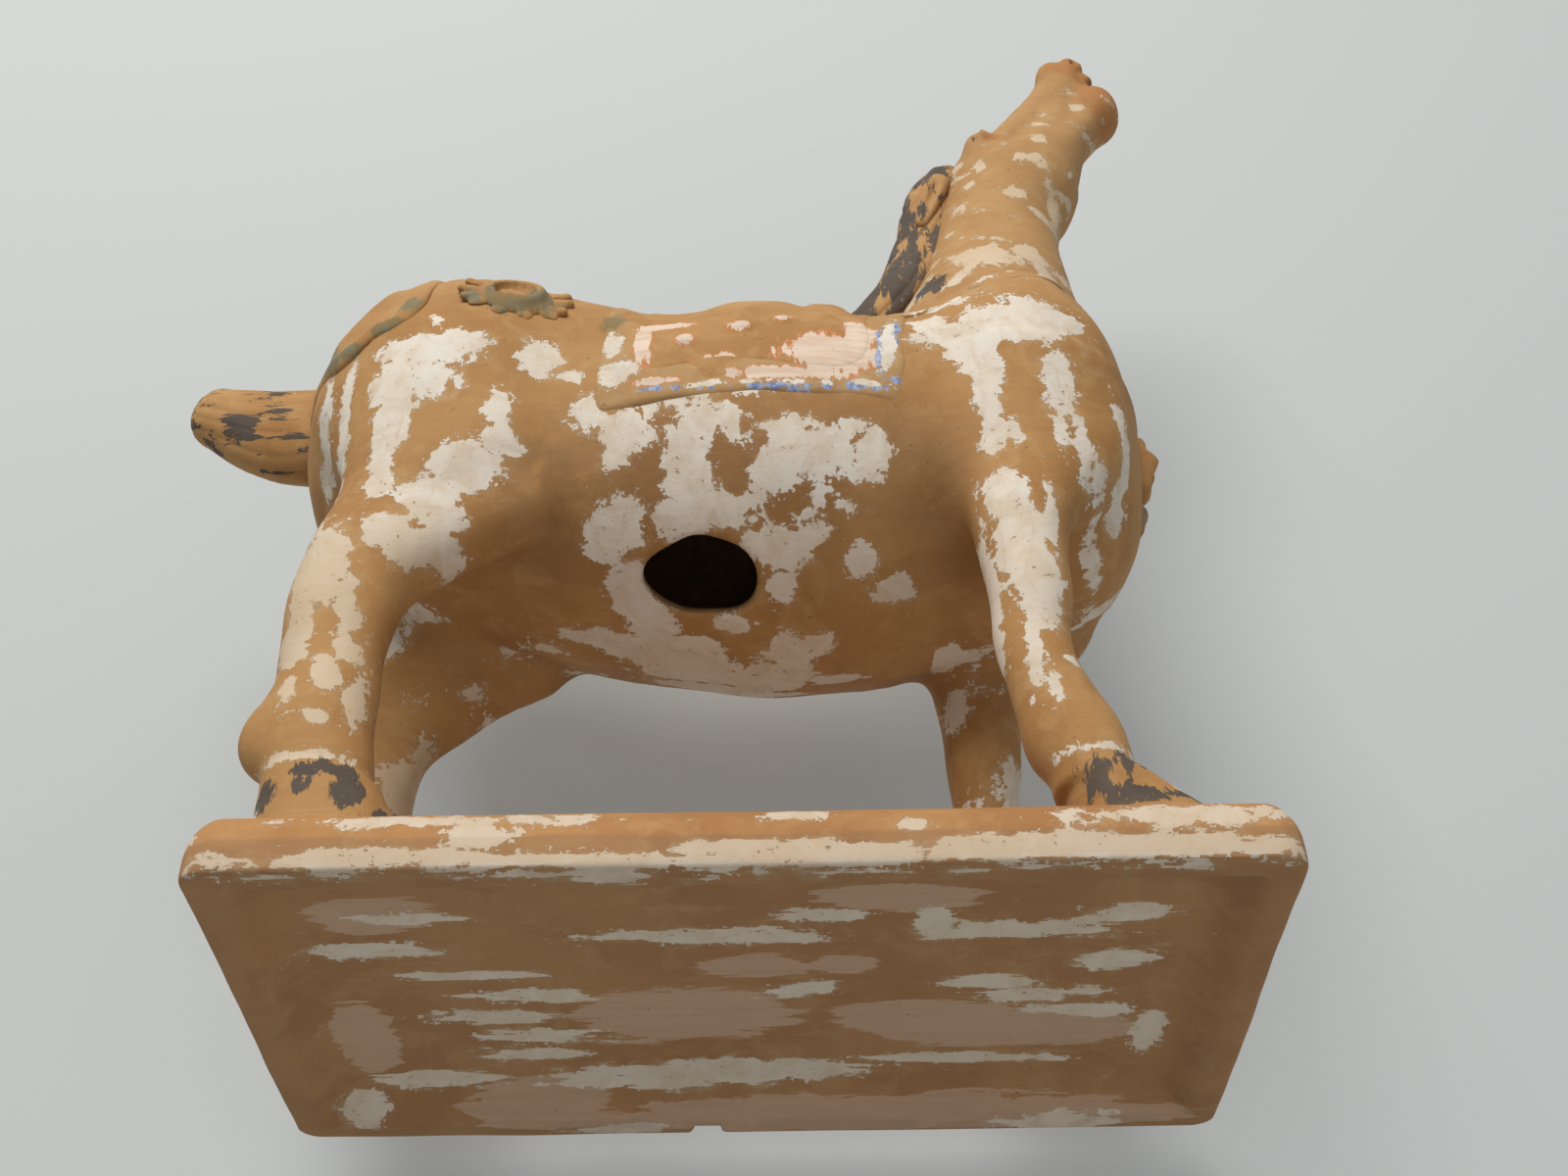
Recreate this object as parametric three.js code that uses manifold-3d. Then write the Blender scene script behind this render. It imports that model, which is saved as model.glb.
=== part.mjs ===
// A hollow pottery horse on a tray-shaped plinth, as its maker puts it together: press-moulded halves
// and solid limbs, dressed with applied harness pieces, all luted with slip.
// Millimetres, +Z up, +X towards the head. Sizes are measured from the middle of the plinth's foot;
// the last step moves the origin to the middle of the whole footprint.
import * as THREE from "three";
import { mergeVertices } from "three/addons/utils/BufferGeometryUtils.js";
import Module from "manifold-3d";

const wasm = await Module();
wasm.setup();
const { Manifold } = wasm;

// Driving dimensions
const WALL = 6; // thickness of the moulded clay
const JOINT = 0.3; // the slip line left open between two luted pieces
const FAR = 400; // reaches past the whole horse
const PLINTH = { length: 264, width: 148, height: 21, foot: 5, chamfer: 1.2, shoulder: 13, corner: 7 };
const RECESS = { rim: 9, slope: 9, depth: 8 }; // the hollow under the plinth
const NICK = { x: -14, radius: 4.2, depth: 3.6 }; // a nick in the left rim
const HOOF_SINK = 7; // the hooves reach down over the rounded shoulder of the plinth
const VENT = { centre: [-13, -27.5, 124.5], inward: [0, -0.46, -0.888], radii: [16.5, 12.5], length: 40 };
const TENON = { centre: [-128, 0, 214], radius: 6, length: 16 }; // the tail's, in the rump
const MOUTH = { centre: [126, 0, 384], radii: [9, 1.6], length: 60 };
const CLOTH = { relief: 2.6, back: -41, front: 45, edge: 168 }; // edge: height of the lower edge
const COVER = { relief: 3.4, edge: 200, height: 240, lobes: [[-1, 19, 34], [20, 13, 28]] }; // lobes: x, radii
const PAD = { relief: 2.6, centre: [-160, 0, 250], radius: 90, front: -97, low: 187 };
const STRAP = { relief: 2.2, centre: [84, 0, 228], normal: [-0.36, 0, 1], width: 8, back: 44 };
const PLAQUE = { back: 112, front: 124.3, halfWidth: 5.5, low: 178, high: 200 };
const BELL = { centre: [115, 0, 168], radius: 8 };
const HIP = { x: -71, y: 52.4, z: 216, tilt: 0.42, reach: [16, 11], relief: 1.8, depth: 14 }; // rosettes
const CUP = [[0, 0], [10.4, 0], [11, 1.4], [9.6, 2.8], [8, 3.6], [7.8, 4.6], [6.6, 4.6], [5, 3], [0, 2.2]];

// Rings of the moulded forms: [x, y, z, half width, half depth]
const TRUNK = [
  [-134, 0, 215, 33, 33],
  [-116, 0, 208, 49, 45],
  [-94, 0, 200, 58, 57],
  [-62, 0, 189, 57, 58],
  [-30, 0, 179, 59, 57],
  [0, 0, 176, 61, 59],
  [25, 0, 176, 60, 59],
  [50, 0, 180, 57, 57],
  [78, 0, 187, 54, 57],
  [100, 0, 191, 48, 52],
  [122, 0, 191, 40, 42],
];
const NECK = [
  [80, 0, 190, 44, 38],
  [81, 0, 222, 41, 40],
  [82, 0, 246, 34, 33],
  [85, 0, 272, 27, 26],
  [87, 0, 297, 22, 22.5],
  [92, 0, 320, 20, 22],
  [97, 0, 334, 18, 21],
];
const HEAD = [
  [92, 0, 315, 17, 22],
  [96, 0, 327, 17, 22.5],
  [102, 0, 341, 15.5, 20.5],
  [108, 0, 357, 12.5, 16],
  [114, 0, 372.5, 11, 12],
  [118.5, 0, 384.5, 11.5, 10.5],
  [122, 0, 394.5, 10, 9.5],
];
const JAW = [
  [108, 0, 333, 12, 8],
  [117.5, 0, 350, 11, 8.5],
  [125, 0, 363, 10, 9],
  [129, 0, 374, 10.5, 9],
  [131.5, 0, 385, 9.5, 8],
];
const MANE = [
  [73, 0, 338, 7, 6],
  [68, 0, 321, 10, 12],
  [64.5, 0, 300, 11, 13],
  [60.5, 0, 285, 12, 13],
  [54, 0, 270, 12.5, 12],
  [43, 0, 256.5, 11, 9.5],
  [27, 0, 246, 8, 5],
];
const TAIL = [
  [-126, 0, 211, 11, 16],
  [-142, 0, 209, 12.5, 18.5],
  [-157, 0, 211.5, 11.5, 16.5],
  [-172, 0, 217, 10, 12],
  [-183, 0, 222, 8, 8],
];
// The limbs are given for the right side; the left side mirrors them.
const FORELEG = [
  [82, -34, 190, 16, 26],
  [80, -39, 160, 16, 21],
  [78.5, -42, 135, 13.5, 15.5],
  [78, -43, 114, 12, 12.5],
  [78, -44, 101, 11.5, 11.5],
  [77.5, -44, 88, 10, 10.3],
  [79, -45, 76, 10, 10],
  [82.5, -46, 62, 11, 11.5],
  [85.5, -47, 52, 12, 12],
  [88, -48, 42, 12, 11],
  [89, -48, 34, 12, 11],
];
const HINDLEG = [
  [-90, -33, 190, 17, 36],
  [-89, -38, 160, 18, 32],
  [-98, -41, 136, 15, 22.5],
  [-107.5, -42.5, 118, 13.5, 17],
  [-111, -43.5, 102, 13, 15.5],
  [-112, -44, 86, 12, 14.5],
  [-111.5, -45, 72, 12, 14],
  [-112.5, -47, 58, 12.5, 15.5],
  [-109, -48, 44, 12.5, 14],
  [-108, -48, 32, 12.5, 13.5],
];
const EAR = [
  [69, -10, 325, 2.2, 3.6],
  [64.5, -11, 313, 3.0, 4.6],
  [60, -11, 297, 1.6, 2.0],
];
const SADDLE = [
  [-26, 0, 246.5, 23, 7],
  [-14, 0, 242, 25, 8],
  [2, 0, 239, 25, 8],
  [17, 0, 243, 23, 8],
  [27, 0, 250, 16, 6],
];
// Hooves as horizontal ovals: [x, z, half length, half width] at the coronet and at the sole
const FORE_HOOF = [[90, 41, 12, 13], [101.5, 20, 21, 16.5]];
const HIND_HOOF = [[-108.5, 42, 14, 13.5], [-103, 20, 20.5, 16.5]];
const HOOF_Y = 48;
const FORE_STAGGER = -7; // how far the left foreleg stands behind the right one
const HIND_STAGGER = -6;
const LEFT_INSET = 6; // the left legs stand this much closer to the middle

const CLAY = { color: 0xb5783c, roughness: 0.9, metalness: 0 };
const BLACKED = { color: 0x4a3d33, roughness: 0.85, metalness: 0 };
const GREENED = { color: 0x7d8a68, roughness: 0.85, metalness: 0 };
const SLIPPED = { color: 0xdcc9b4, roughness: 0.95, metalness: 0 };

const vec = (x, y, z) => new THREE.Vector3(x, y, z);

// A closed three.js geometry as a manifold-3d solid.
function solid(geometry) {
  const bare = geometry.index ? geometry.clone() : geometry;
  bare.deleteAttribute("normal");
  bare.deleteAttribute("uv");
  const merged = mergeVertices(bare, 1e-4);
  return new Manifold(
    new wasm.Mesh({
      numProp: 3,
      vertProperties: merged.attributes.position.array,
      triVerts: new Uint32Array(merged.index.array),
    }),
  );
}

// A domed tube through elliptical rings. grow fattens it by the same amount everywhere.
function tube(stations, { grow = 0, domes = [8, 8], rings = 12, sides = 16 } = {}) {
  const spine = new THREE.CatmullRomCurve3(stations.map(([x, y, z]) => vec(x, y, z)), false, "centripetal");
  const girth = new THREE.CatmullRomCurve3(stations.map(([, , , a, b]) => vec(a, b, 0)));
  const length = spine.getLength();
  const domeSteps = 3;
  const along = [];
  for (let k = 0; k <= domeSteps; k++) {
    const angle = (k / domeSteps) * (Math.PI / 2);
    along.push([domes[0] * (1 - Math.cos(angle)), Math.sin(angle)]);
  }
  for (let k = 1; k < rings; k++) {
    along.push([domes[0] + (k / rings) * (length - domes[0] - domes[1]), 1]);
  }
  for (let k = domeSteps; k >= 0; k--) {
    const angle = (k / domeSteps) * (Math.PI / 2);
    along.push([length - domes[1] * (1 - Math.cos(angle)), Math.sin(angle)]);
  }
  const points = [];
  const faces = [];
  along.forEach(([s, share], row) => {
    const t = spine.getUtoTmapping(s / length);
    const tangent = spine.getTangent(t);
    const side = vec(0, 1, 0).addScaledVector(tangent, -tangent.y).normalize();
    const depth = new THREE.Vector3().crossVectors(tangent, side);
    const size = girth.getPoint(t);
    const shift = ((s - length / 2) / (length / 2)) * grow; // the ends move out with the sides
    const centre = spine.getPoint(t).addScaledVector(tangent, shift);
    if (row === 0 || row === along.length - 1) {
      points.push(centre);
      return;
    }
    for (let i = 0; i < sides; i++) {
      const angle = (i / sides) * 2 * Math.PI;
      points.push(
        centre
          .clone()
          .addScaledVector(side, Math.cos(angle) * (size.x + grow) * share)
          .addScaledVector(depth, Math.sin(angle) * (size.y + grow) * share),
      );
    }
  });
  const at = (row, i) => 1 + (row - 1) * sides + (i % sides);
  const last = points.length - 1;
  const endRow = along.length - 2;
  for (let i = 0; i < sides; i++) {
    faces.push(0, at(1, i + 1), at(1, i));
    for (let row = 1; row < endRow; row++) {
      faces.push(at(row, i), at(row, i + 1), at(row + 1, i + 1));
      faces.push(at(row, i), at(row + 1, i + 1), at(row + 1, i));
    }
    faces.push(last, at(endRow, i), at(endRow, i + 1));
  }
  const geometry = new THREE.BufferGeometry().setFromPoints(points);
  geometry.setIndex(faces);
  return solid(geometry);
}

// Stations of the right side, carried over to the left.
function mirrored(stations, dx = 0, inset = 0) {
  return stations.map(([x, y, z, a, b]) => [x + dx, -y - inset, z, a, b]);
}

function ball(centre, radii) {
  const geometry = new THREE.SphereGeometry(1, 20, 12);
  geometry.scale(...radii);
  geometry.translate(...centre);
  return solid(geometry);
}

function block(low, high) {
  const size = high.map((v, i) => v - low[i]);
  const geometry = new THREE.BoxGeometry(...size);
  geometry.translate(...low.map((v, i) => v + size[i] / 2));
  return solid(geometry);
}

// A cylinder of given radii whose axis runs through a point along a direction.
function bar(centre, direction, radii, length, sides = 24) {
  const geometry = new THREE.CylinderGeometry(1, 1, length, sides);
  geometry.scale(radii[0], 1, radii[1]);
  const turn = new THREE.Quaternion().setFromUnitVectors(vec(0, 1, 0), vec(...direction).normalize());
  geometry.applyQuaternion(turn);
  geometry.translate(...centre);
  return solid(geometry);
}

const rightSide = block([-FAR, -FAR, -FAR], [FAR, -JOINT / 2, FAR]);
const leftSide = block([-FAR, JOINT / 2, -FAR], [FAR, FAR, FAR]);

// Moulded forms, grown or shrunk
function trunkForm(grow = 0) {
  return tube(TRUNK, { grow, domes: [24, 20], rings: 12, sides: 24 });
}
function neckForm(grow = 0) {
  return tube(NECK, { grow, domes: [6, 6], rings: 7, sides: 20 });
}
function headForm(grow = 0) {
  return tube(HEAD, { grow, domes: [10, 9], rings: 7 });
}
function maneForm(grow = 0) {
  return tube(MANE, { grow, domes: [5, 8], rings: 9 });
}
function tailForm(grow = 0) {
  return tube(TAIL, { grow, domes: [3, 9], rings: 6 });
}

const pieces = [];
function add(name, shape, look = CLAY) {
  pieces.push({ name, shape, look });
}

// Plinth: a rounded slab, hollowed underneath to a rim
function roundedRectangle(length, width, radius) {
  const [x, y] = [length / 2, width / 2];
  const shape = new THREE.Shape();
  shape.moveTo(-x + radius, -y);
  shape.lineTo(x - radius, -y);
  shape.absarc(x - radius, -y + radius, radius, -Math.PI / 2, 0);
  shape.lineTo(x, y - radius);
  shape.absarc(x - radius, y - radius, radius, 0, Math.PI / 2);
  shape.lineTo(-x + radius, y);
  shape.absarc(-x + radius, y - radius, radius, Math.PI / 2, Math.PI);
  shape.lineTo(-x, -y + radius);
  shape.absarc(-x + radius, -y + radius, radius, Math.PI, 1.5 * Math.PI);
  return shape;
}

// A stack of rounded rectangles, each [height, inset from the edge], joined into one solid.
function stack(levels, corner) {
  const sharpest = 2;
  const outlines = levels.map(([z, inset]) => {
    const radius = Math.max(corner - inset / 2, sharpest);
    const shape = roundedRectangle(PLINTH.length - 2 * inset, PLINTH.width - 2 * inset, radius);
    return shape.getPoints(4).map((p) => vec(p.x, p.y, z));
  });
  const count = outlines[0].length;
  const points = [];
  const faces = [];
  outlines.forEach((outline) => points.push(...outline));
  const bottom = points.push(vec(0, 0, levels[0][0])) - 1;
  const top = points.push(vec(0, 0, levels[levels.length - 1][0])) - 1;
  for (let i = 0; i < count; i++) {
    const j = (i + 1) % count;
    for (let row = 0; row + 1 < levels.length; row++) {
      const [a, b] = [row * count, (row + 1) * count];
      faces.push(a + i, a + j, b + j, a + i, b + j, b + i);
    }
    const lastRow = (levels.length - 1) * count;
    faces.push(bottom, j, i, top, lastRow + i, lastRow + j);
  }
  const geometry = new THREE.BufferGeometry().setFromPoints(points);
  geometry.setIndex(faces);
  return solid(geometry);
}

function plinthForm(grow = 0) {
  const levels = [[0, PLINTH.chamfer], [PLINTH.chamfer, 0], [PLINTH.foot, 0]];
  const steps = 4;
  const rise = PLINTH.height - PLINTH.foot;
  for (let k = 1; k <= steps; k++) {
    const angle = (k / steps) * (Math.PI / 2);
    levels.push([PLINTH.foot + rise * Math.sin(angle), PLINTH.shoulder * (1 - Math.cos(angle))]);
  }
  return stack(levels.map(([z, inset]) => [z + grow, inset - grow]), PLINTH.corner);
}

function plinth() {
  const recess = stack(
    [[-1, RECESS.rim - 1], [0, RECESS.rim], [RECESS.depth, RECESS.rim + RECESS.slope]],
    PLINTH.corner,
  );
  const nick = bar([NICK.x, PLINTH.width / 2, 0], [0, 1, 0], [NICK.radius, NICK.radius], 2 * NICK.depth, 12);
  return plinthForm().subtract(recess).subtract(nick);
}
add("plinth", plinth(), SLIPPED);

// Trunk: two moulded halves with a hand-cut vent hole in the belly and a socket for the tail
const neckHollow = neckForm(-WALL);
const vent = bar(VENT.centre, VENT.inward, VENT.radii, VENT.length);
function tenonBar(gap) {
  const radius = TENON.radius + gap;
  return bar(TENON.centre, [-1, 0, 0], [radius, radius], TENON.length, 16);
}
const trunkShell = trunkForm()
  .subtract(trunkForm(-WALL))
  .subtract(neckHollow)
  .subtract(vent)
  .subtract(tenonBar(JOINT));
add("trunk_right_half", trunkShell.intersect(rightSide));
add("trunk_left_half", trunkShell.intersect(leftSide));

// Neck: two moulded halves standing on the shoulders
const trunkSeat = trunkForm(JOINT);
const headSeat = headForm(JOINT);
const neckShell = neckForm().subtract(neckHollow).subtract(trunkSeat).subtract(headSeat);
add("neck_right_half", neckShell.intersect(rightSide));
add("neck_left_half", neckShell.intersect(leftSide));

// Head: two moulded halves, with the mouth cut open above a separate jaw
const mouthSlot = bar(MOUTH.centre, [0, 1, 0], MOUTH.radii, MOUTH.length, 12);
const headShell = headForm().subtract(headForm(-WALL)).subtract(mouthSlot);
add("head_right_half", headShell.intersect(rightSide));
add("head_left_half", headShell.intersect(leftSide));
const jaw = tube(JAW, { domes: [5, 8], rings: 6 })
  .subtract(headSeat)
  .subtract(neckForm(JOINT));
add("lower_jaw", jaw);

// Legs: solid limbs with their hooves, luted under the trunk and onto the plinth
function hoof([coronet, sole], y, dx) {
  const [topX, topZ, topLength, topWidth] = coronet;
  const [soleX, soleZ, soleLength, soleWidth] = sole;
  const foot = PLINTH.height - HOOF_SINK;
  const height = topZ - foot;
  const geometry = new THREE.CylinderGeometry(1, 1, height, 20, 2);
  geometry.rotateX(Math.PI / 2);
  const place = geometry.attributes.position;
  for (let i = 0; i < place.count; i++) {
    const z = foot + height / 2 + place.getZ(i);
    const down = (topZ - z) / (topZ - soleZ);
    const length = THREE.MathUtils.lerp(topLength, soleLength, down);
    const width = THREE.MathUtils.lerp(topWidth, soleWidth, down);
    const x = THREE.MathUtils.lerp(topX, soleX, down) + dx + place.getX(i) * length;
    place.setXYZ(i, x, y + place.getY(i) * width, z);
  }
  return solid(geometry);
}
const plinthSeat = plinthForm(JOINT);
function leg(stations, foot, y, dx = 0) {
  return tube(stations, { domes: [8, 4], rings: 10 })
    .add(hoof(foot, y, dx))
    .subtract(trunkSeat)
    .subtract(plinthSeat);
}
const leftHoofY = HOOF_Y - LEFT_INSET;
const foreLeft = mirrored(FORELEG, FORE_STAGGER, LEFT_INSET);
const hindLeft = mirrored(HINDLEG, HIND_STAGGER, LEFT_INSET);
add("front_right_leg", leg(FORELEG, FORE_HOOF, -HOOF_Y));
add("front_left_leg", leg(foreLeft, FORE_HOOF, leftHoofY, FORE_STAGGER));
add("hind_right_leg", leg(HINDLEG, HIND_HOOF, -HOOF_Y));
add("hind_left_leg", leg(hindLeft, HIND_HOOF, leftHoofY, HIND_STAGGER));

// Tail: a docked stub with a tenon that fills the socket in the rump
const tenon = tenonBar(0).subtract(trunkForm(-WALL));
add("tail", tailForm().subtract(trunkSeat).add(tenon), BLACKED);

// Mane and ears
const neckSeat = neckForm(JOINT);
const mane = maneForm().subtract(neckSeat).subtract(trunkSeat).subtract(headSeat);
function ear(stations) {
  return tube(stations, { domes: [3, 3], rings: 4, sides: 10 })
    .subtract(headSeat)
    .subtract(neckSeat)
    .subtract(maneForm(JOINT));
}
add("right_ear", ear(EAR));
add("left_ear", ear(mirrored(EAR)));

// Saddle cloth, saddle cover and saddle, one over the other on the back
const clothTop = trunkForm(CLOTH.relief + JOINT);
const clothArea = block([CLOTH.back, -FAR, CLOTH.edge], [CLOTH.front, FAR, FAR]);
const cloth = trunkForm(CLOTH.relief).subtract(trunkSeat).intersect(clothArea).subtract(neckSeat);
const coverTop = CLOTH.relief + JOINT + COVER.relief;
const coverLobes = COVER.lobes.map(([x, a, b]) => bar([x, 0, COVER.height], [0, 1, 0], [a, b], FAR));
const aboveCoverEdge = block([-FAR, -FAR, COVER.edge], [FAR, FAR, FAR]);
const coverArea = coverLobes[0].add(coverLobes[1]).intersect(aboveCoverEdge);
const cover = trunkForm(coverTop).subtract(clothTop).intersect(coverArea);
const saddle = tube(SADDLE, { domes: [6, 5], rings: 8 })
  .subtract(trunkForm(coverTop + JOINT))
  .subtract(maneForm(JOINT))
  .subtract(neckSeat);
add("saddle_cloth", cloth, SLIPPED);
add("saddle_cover", cover);
add("saddle", saddle);
add("mane", mane.subtract(clothTop), BLACKED);

// Crupper pad draped over the rump, round the tail
const padReach = block([-FAR, -FAR, PAD.low], [PAD.front, FAR, FAR]);
const padArea = ball(PAD.centre, [PAD.radius, PAD.radius, PAD.radius]).intersect(padReach);
const pad = trunkForm(PAD.relief).subtract(trunkSeat).intersect(padArea).subtract(tailForm(JOINT));
add("crupper_pad", pad, GREENED);

// Hip rosettes: a leafy plate and a fluted cup on each side
function rosette(side) {
  const out = vec(0, side * Math.cos(HIP.tilt), Math.sin(HIP.tilt));
  const at = (distance) => [HIP.x, side * HIP.y + out.y * distance, HIP.z + out.z * distance];
  const plateCentre = at(HIP.relief - HIP.depth / 2);
  const plate = bar(plateCentre, out.toArray(), HIP.reach, HIP.depth, 24).subtract(trunkSeat);
  const cup = new THREE.LatheGeometry(CUP.map(([radius, height]) => new THREE.Vector2(radius, height)), 20);
  cup.applyQuaternion(new THREE.Quaternion().setFromUnitVectors(vec(0, 1, 0), out));
  cup.translate(...at(HIP.relief + JOINT));
  return { plate, cup: solid(cup).subtract(trunkSeat) };
}
[["right", -1], ["left", 1]].forEach(([word, side]) => {
  const { plate, cup } = rosette(side);
  add(`rosette_leaves_${word}`, plate, GREENED);
  add(`rosette_cup_${word}`, cup, GREENED);
});

// Breast strap round the foot of the neck, with a plaque and a bell on the chest
function collarForm(grow) {
  return trunkForm(grow).add(neckForm(grow));
}
const strapBand = bar(STRAP.centre, STRAP.normal, [FAR, FAR], STRAP.width, 32);
const strapArea = strapBand.subtract(block([-FAR, -FAR, -FAR], [STRAP.back, FAR, FAR]));
const strap = collarForm(STRAP.relief)
  .subtract(collarForm(JOINT))
  .intersect(strapArea)
  .subtract(clothTop);
const chestSeat = collarForm(JOINT).add(collarForm(STRAP.relief + JOINT).intersect(strapBand));
function plaqueBlock(gap) {
  const side = PLAQUE.halfWidth + gap;
  return block([PLAQUE.back - gap, -side, PLAQUE.low - gap], [PLAQUE.front + gap, side, PLAQUE.high + gap]);
}
const bell = ball(BELL.centre, [BELL.radius, BELL.radius, BELL.radius])
  .subtract(chestSeat)
  .subtract(plaqueBlock(JOINT));
add("breast_strap", strap, GREENED);
add("chest_plaque", plaqueBlock(0).subtract(chestSeat));
add("chest_bell", bell, GREENED);

const horse = new THREE.Group();
for (const { name, shape, look } of pieces) {
  const { vertProperties, triVerts, numProp } = shape.getMesh();
  const geometry = new THREE.BufferGeometry();
  geometry.setAttribute("position", new THREE.BufferAttribute(new Float32Array(vertProperties), numProp));
  geometry.setIndex(new THREE.BufferAttribute(new Uint32Array(triVerts), 1));
  geometry.computeVertexNormals();
  const mesh = new THREE.Mesh(geometry, new THREE.MeshStandardMaterial(look));
  mesh.name = name;
  horse.add(mesh);
}

// The origin moves to the middle of the whole footprint, still on the plane the plinth stands on.
const box = new THREE.Box3().setFromObject(horse);
horse.position.x = -(box.min.x + box.max.x) / 2;

export default horse;
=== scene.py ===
"""A hollow pottery horse on a tray-shaped plinth, lying on its left side on a pale backdrop.

The clay is sculpted as signed distance fields on grids, in millimetres from the centre of the plinth's foot.
Each field becomes a mesh, the horse's skin is cut into the pieces its maker luted together, and every piece
takes one procedural pottery material, steered by painted masks held as mesh attributes.
"""

import math
from types import SimpleNamespace

import bpy
import numpy as np
from mathutils import Matrix, Vector


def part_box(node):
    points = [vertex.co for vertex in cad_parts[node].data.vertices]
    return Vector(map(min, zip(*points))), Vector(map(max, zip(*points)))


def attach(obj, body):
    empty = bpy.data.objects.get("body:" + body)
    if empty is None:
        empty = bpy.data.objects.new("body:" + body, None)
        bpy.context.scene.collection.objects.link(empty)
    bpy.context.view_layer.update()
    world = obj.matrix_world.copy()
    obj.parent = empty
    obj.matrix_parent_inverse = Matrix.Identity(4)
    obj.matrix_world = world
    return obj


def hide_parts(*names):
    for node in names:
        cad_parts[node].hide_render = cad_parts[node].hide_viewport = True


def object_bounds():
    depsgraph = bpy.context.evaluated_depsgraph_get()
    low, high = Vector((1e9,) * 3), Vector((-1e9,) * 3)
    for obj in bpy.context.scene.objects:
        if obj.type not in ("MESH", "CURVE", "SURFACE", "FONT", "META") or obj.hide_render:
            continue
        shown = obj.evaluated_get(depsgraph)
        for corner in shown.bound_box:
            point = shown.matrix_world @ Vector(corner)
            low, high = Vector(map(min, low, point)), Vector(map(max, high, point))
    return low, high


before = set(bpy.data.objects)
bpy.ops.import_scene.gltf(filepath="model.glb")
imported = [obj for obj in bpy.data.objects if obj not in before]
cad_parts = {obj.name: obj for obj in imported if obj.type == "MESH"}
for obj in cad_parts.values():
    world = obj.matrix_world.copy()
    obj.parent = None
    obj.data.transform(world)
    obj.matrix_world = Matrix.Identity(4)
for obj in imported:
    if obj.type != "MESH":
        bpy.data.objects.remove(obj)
cad_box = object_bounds()

MM = 0.001
FAR = 50.0  # a distance that stands for no clay nearby
BEYOND = 200.0  # past the object on every side
EVERYWHERE = (slice(None),) * 3
SKIN_STEP = 1.2  # grid step of the horse's skin
FINE_STEP = 0.7  # grid step of the applied pieces
DETAIL_STEP = FINE_STEP * 0.8  # and of the smallest ones
EVENING_ROUNDS = 2  # of evening out each mesh
SHARP_ANGLE = 50  # degrees between faces whose edge stays crisp

PLINTH_LOW, PLINTH_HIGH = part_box("plinth")
ORIGIN = np.array([(PLINTH_LOW.x + PLINTH_HIGH.x) / 2, (PLINTH_LOW.y + PLINTH_HIGH.y) / 2, PLINTH_LOW.z])
PLINTH = (np.array(PLINTH_HIGH) - np.array(PLINTH_LOW)) / MM  # length, width, height

# ---------------------------------------------------------------- forms of the horse
# Rings of the moulded forms, as in the CAD model: [x, y, z, half width, half depth]
TRUNK = [
    [-134, 0, 215, 33, 33], [-116, 0, 208, 49, 45], [-94, 0, 200, 58, 57], [-62, 0, 189, 57, 58],
    [-30, 0, 179, 59, 57], [0, 0, 176, 61, 59], [25, 0, 176, 60, 59], [50, 0, 180, 57, 57],
    [78, 0, 187, 54, 57], [100, 0, 191, 48, 52], [122, 0, 191, 40, 42],
]
NECK = [
    [80, 0, 190, 44, 38], [81, 0, 222, 41, 40], [82, 0, 246, 34, 33], [85, 0, 272, 27, 26],
    [87, 0, 297, 22, 22.5], [92, 0, 320, 20, 22], [97, 0, 334, 18, 21],
]
HEAD = [
    [92, 0, 315, 17, 22], [96, 0, 327, 17, 22.5], [102, 0, 341, 15.5, 20.5], [108, 0, 357, 12.5, 16],
    [114, 0, 372.5, 11, 12], [118.5, 0, 384.5, 11.5, 10.5], [122, 0, 394.5, 10, 9.5],
]
JAW = [
    [108, 0, 333, 12, 8], [117.5, 0, 350, 10.5, 6.5], [125, 0, 362, 10, 8], [129, 0, 372, 10.5, 9],
    [131, 0, 382, 9.5, 8],
]
# Legs, for the right side
FORELEG = [
    [82, -34, 190, 16, 26], [80, -39, 160, 16, 21], [78.5, -42, 135, 13.5, 15.5], [78, -43, 114, 12, 12.5],
    [78, -44, 101, 11.5, 11.5], [77.5, -44, 88, 10, 10.3], [79, -45, 76, 10, 10], [82.5, -46, 62, 11, 11.5],
    [85.5, -47, 52, 12, 12], [88, -48, 42, 12, 11], [89, -48, 34, 12, 11],
]
HINDLEG = [
    [-90, -33, 190, 17, 36], [-89, -38, 160, 18, 32], [-98, -41, 136, 15, 22.5],
    [-107.5, -42.5, 118, 13.5, 17], [-111, -43.5, 102, 13, 15.5], [-112, -44, 86, 12, 14.5],
    [-111.5, -45, 72, 12, 14], [-112.5, -47, 58, 12.5, 15.5], [-109, -48, 44, 12.5, 14],
    [-108, -48, 32, 12.5, 13.5],
]
# Hooves, as horizontal ovals: [x, z, half length, half width] at the coronet and at the sole
FORE_HOOF = [[90, 40, 9, 13], [101.5, 20, 21.5, 16.5]]
HIND_HOOF = [[-108.5, 42, 14, 13.5], [-103, 20, 20.5, 16.5]]
HOOF_Y = 48
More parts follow.
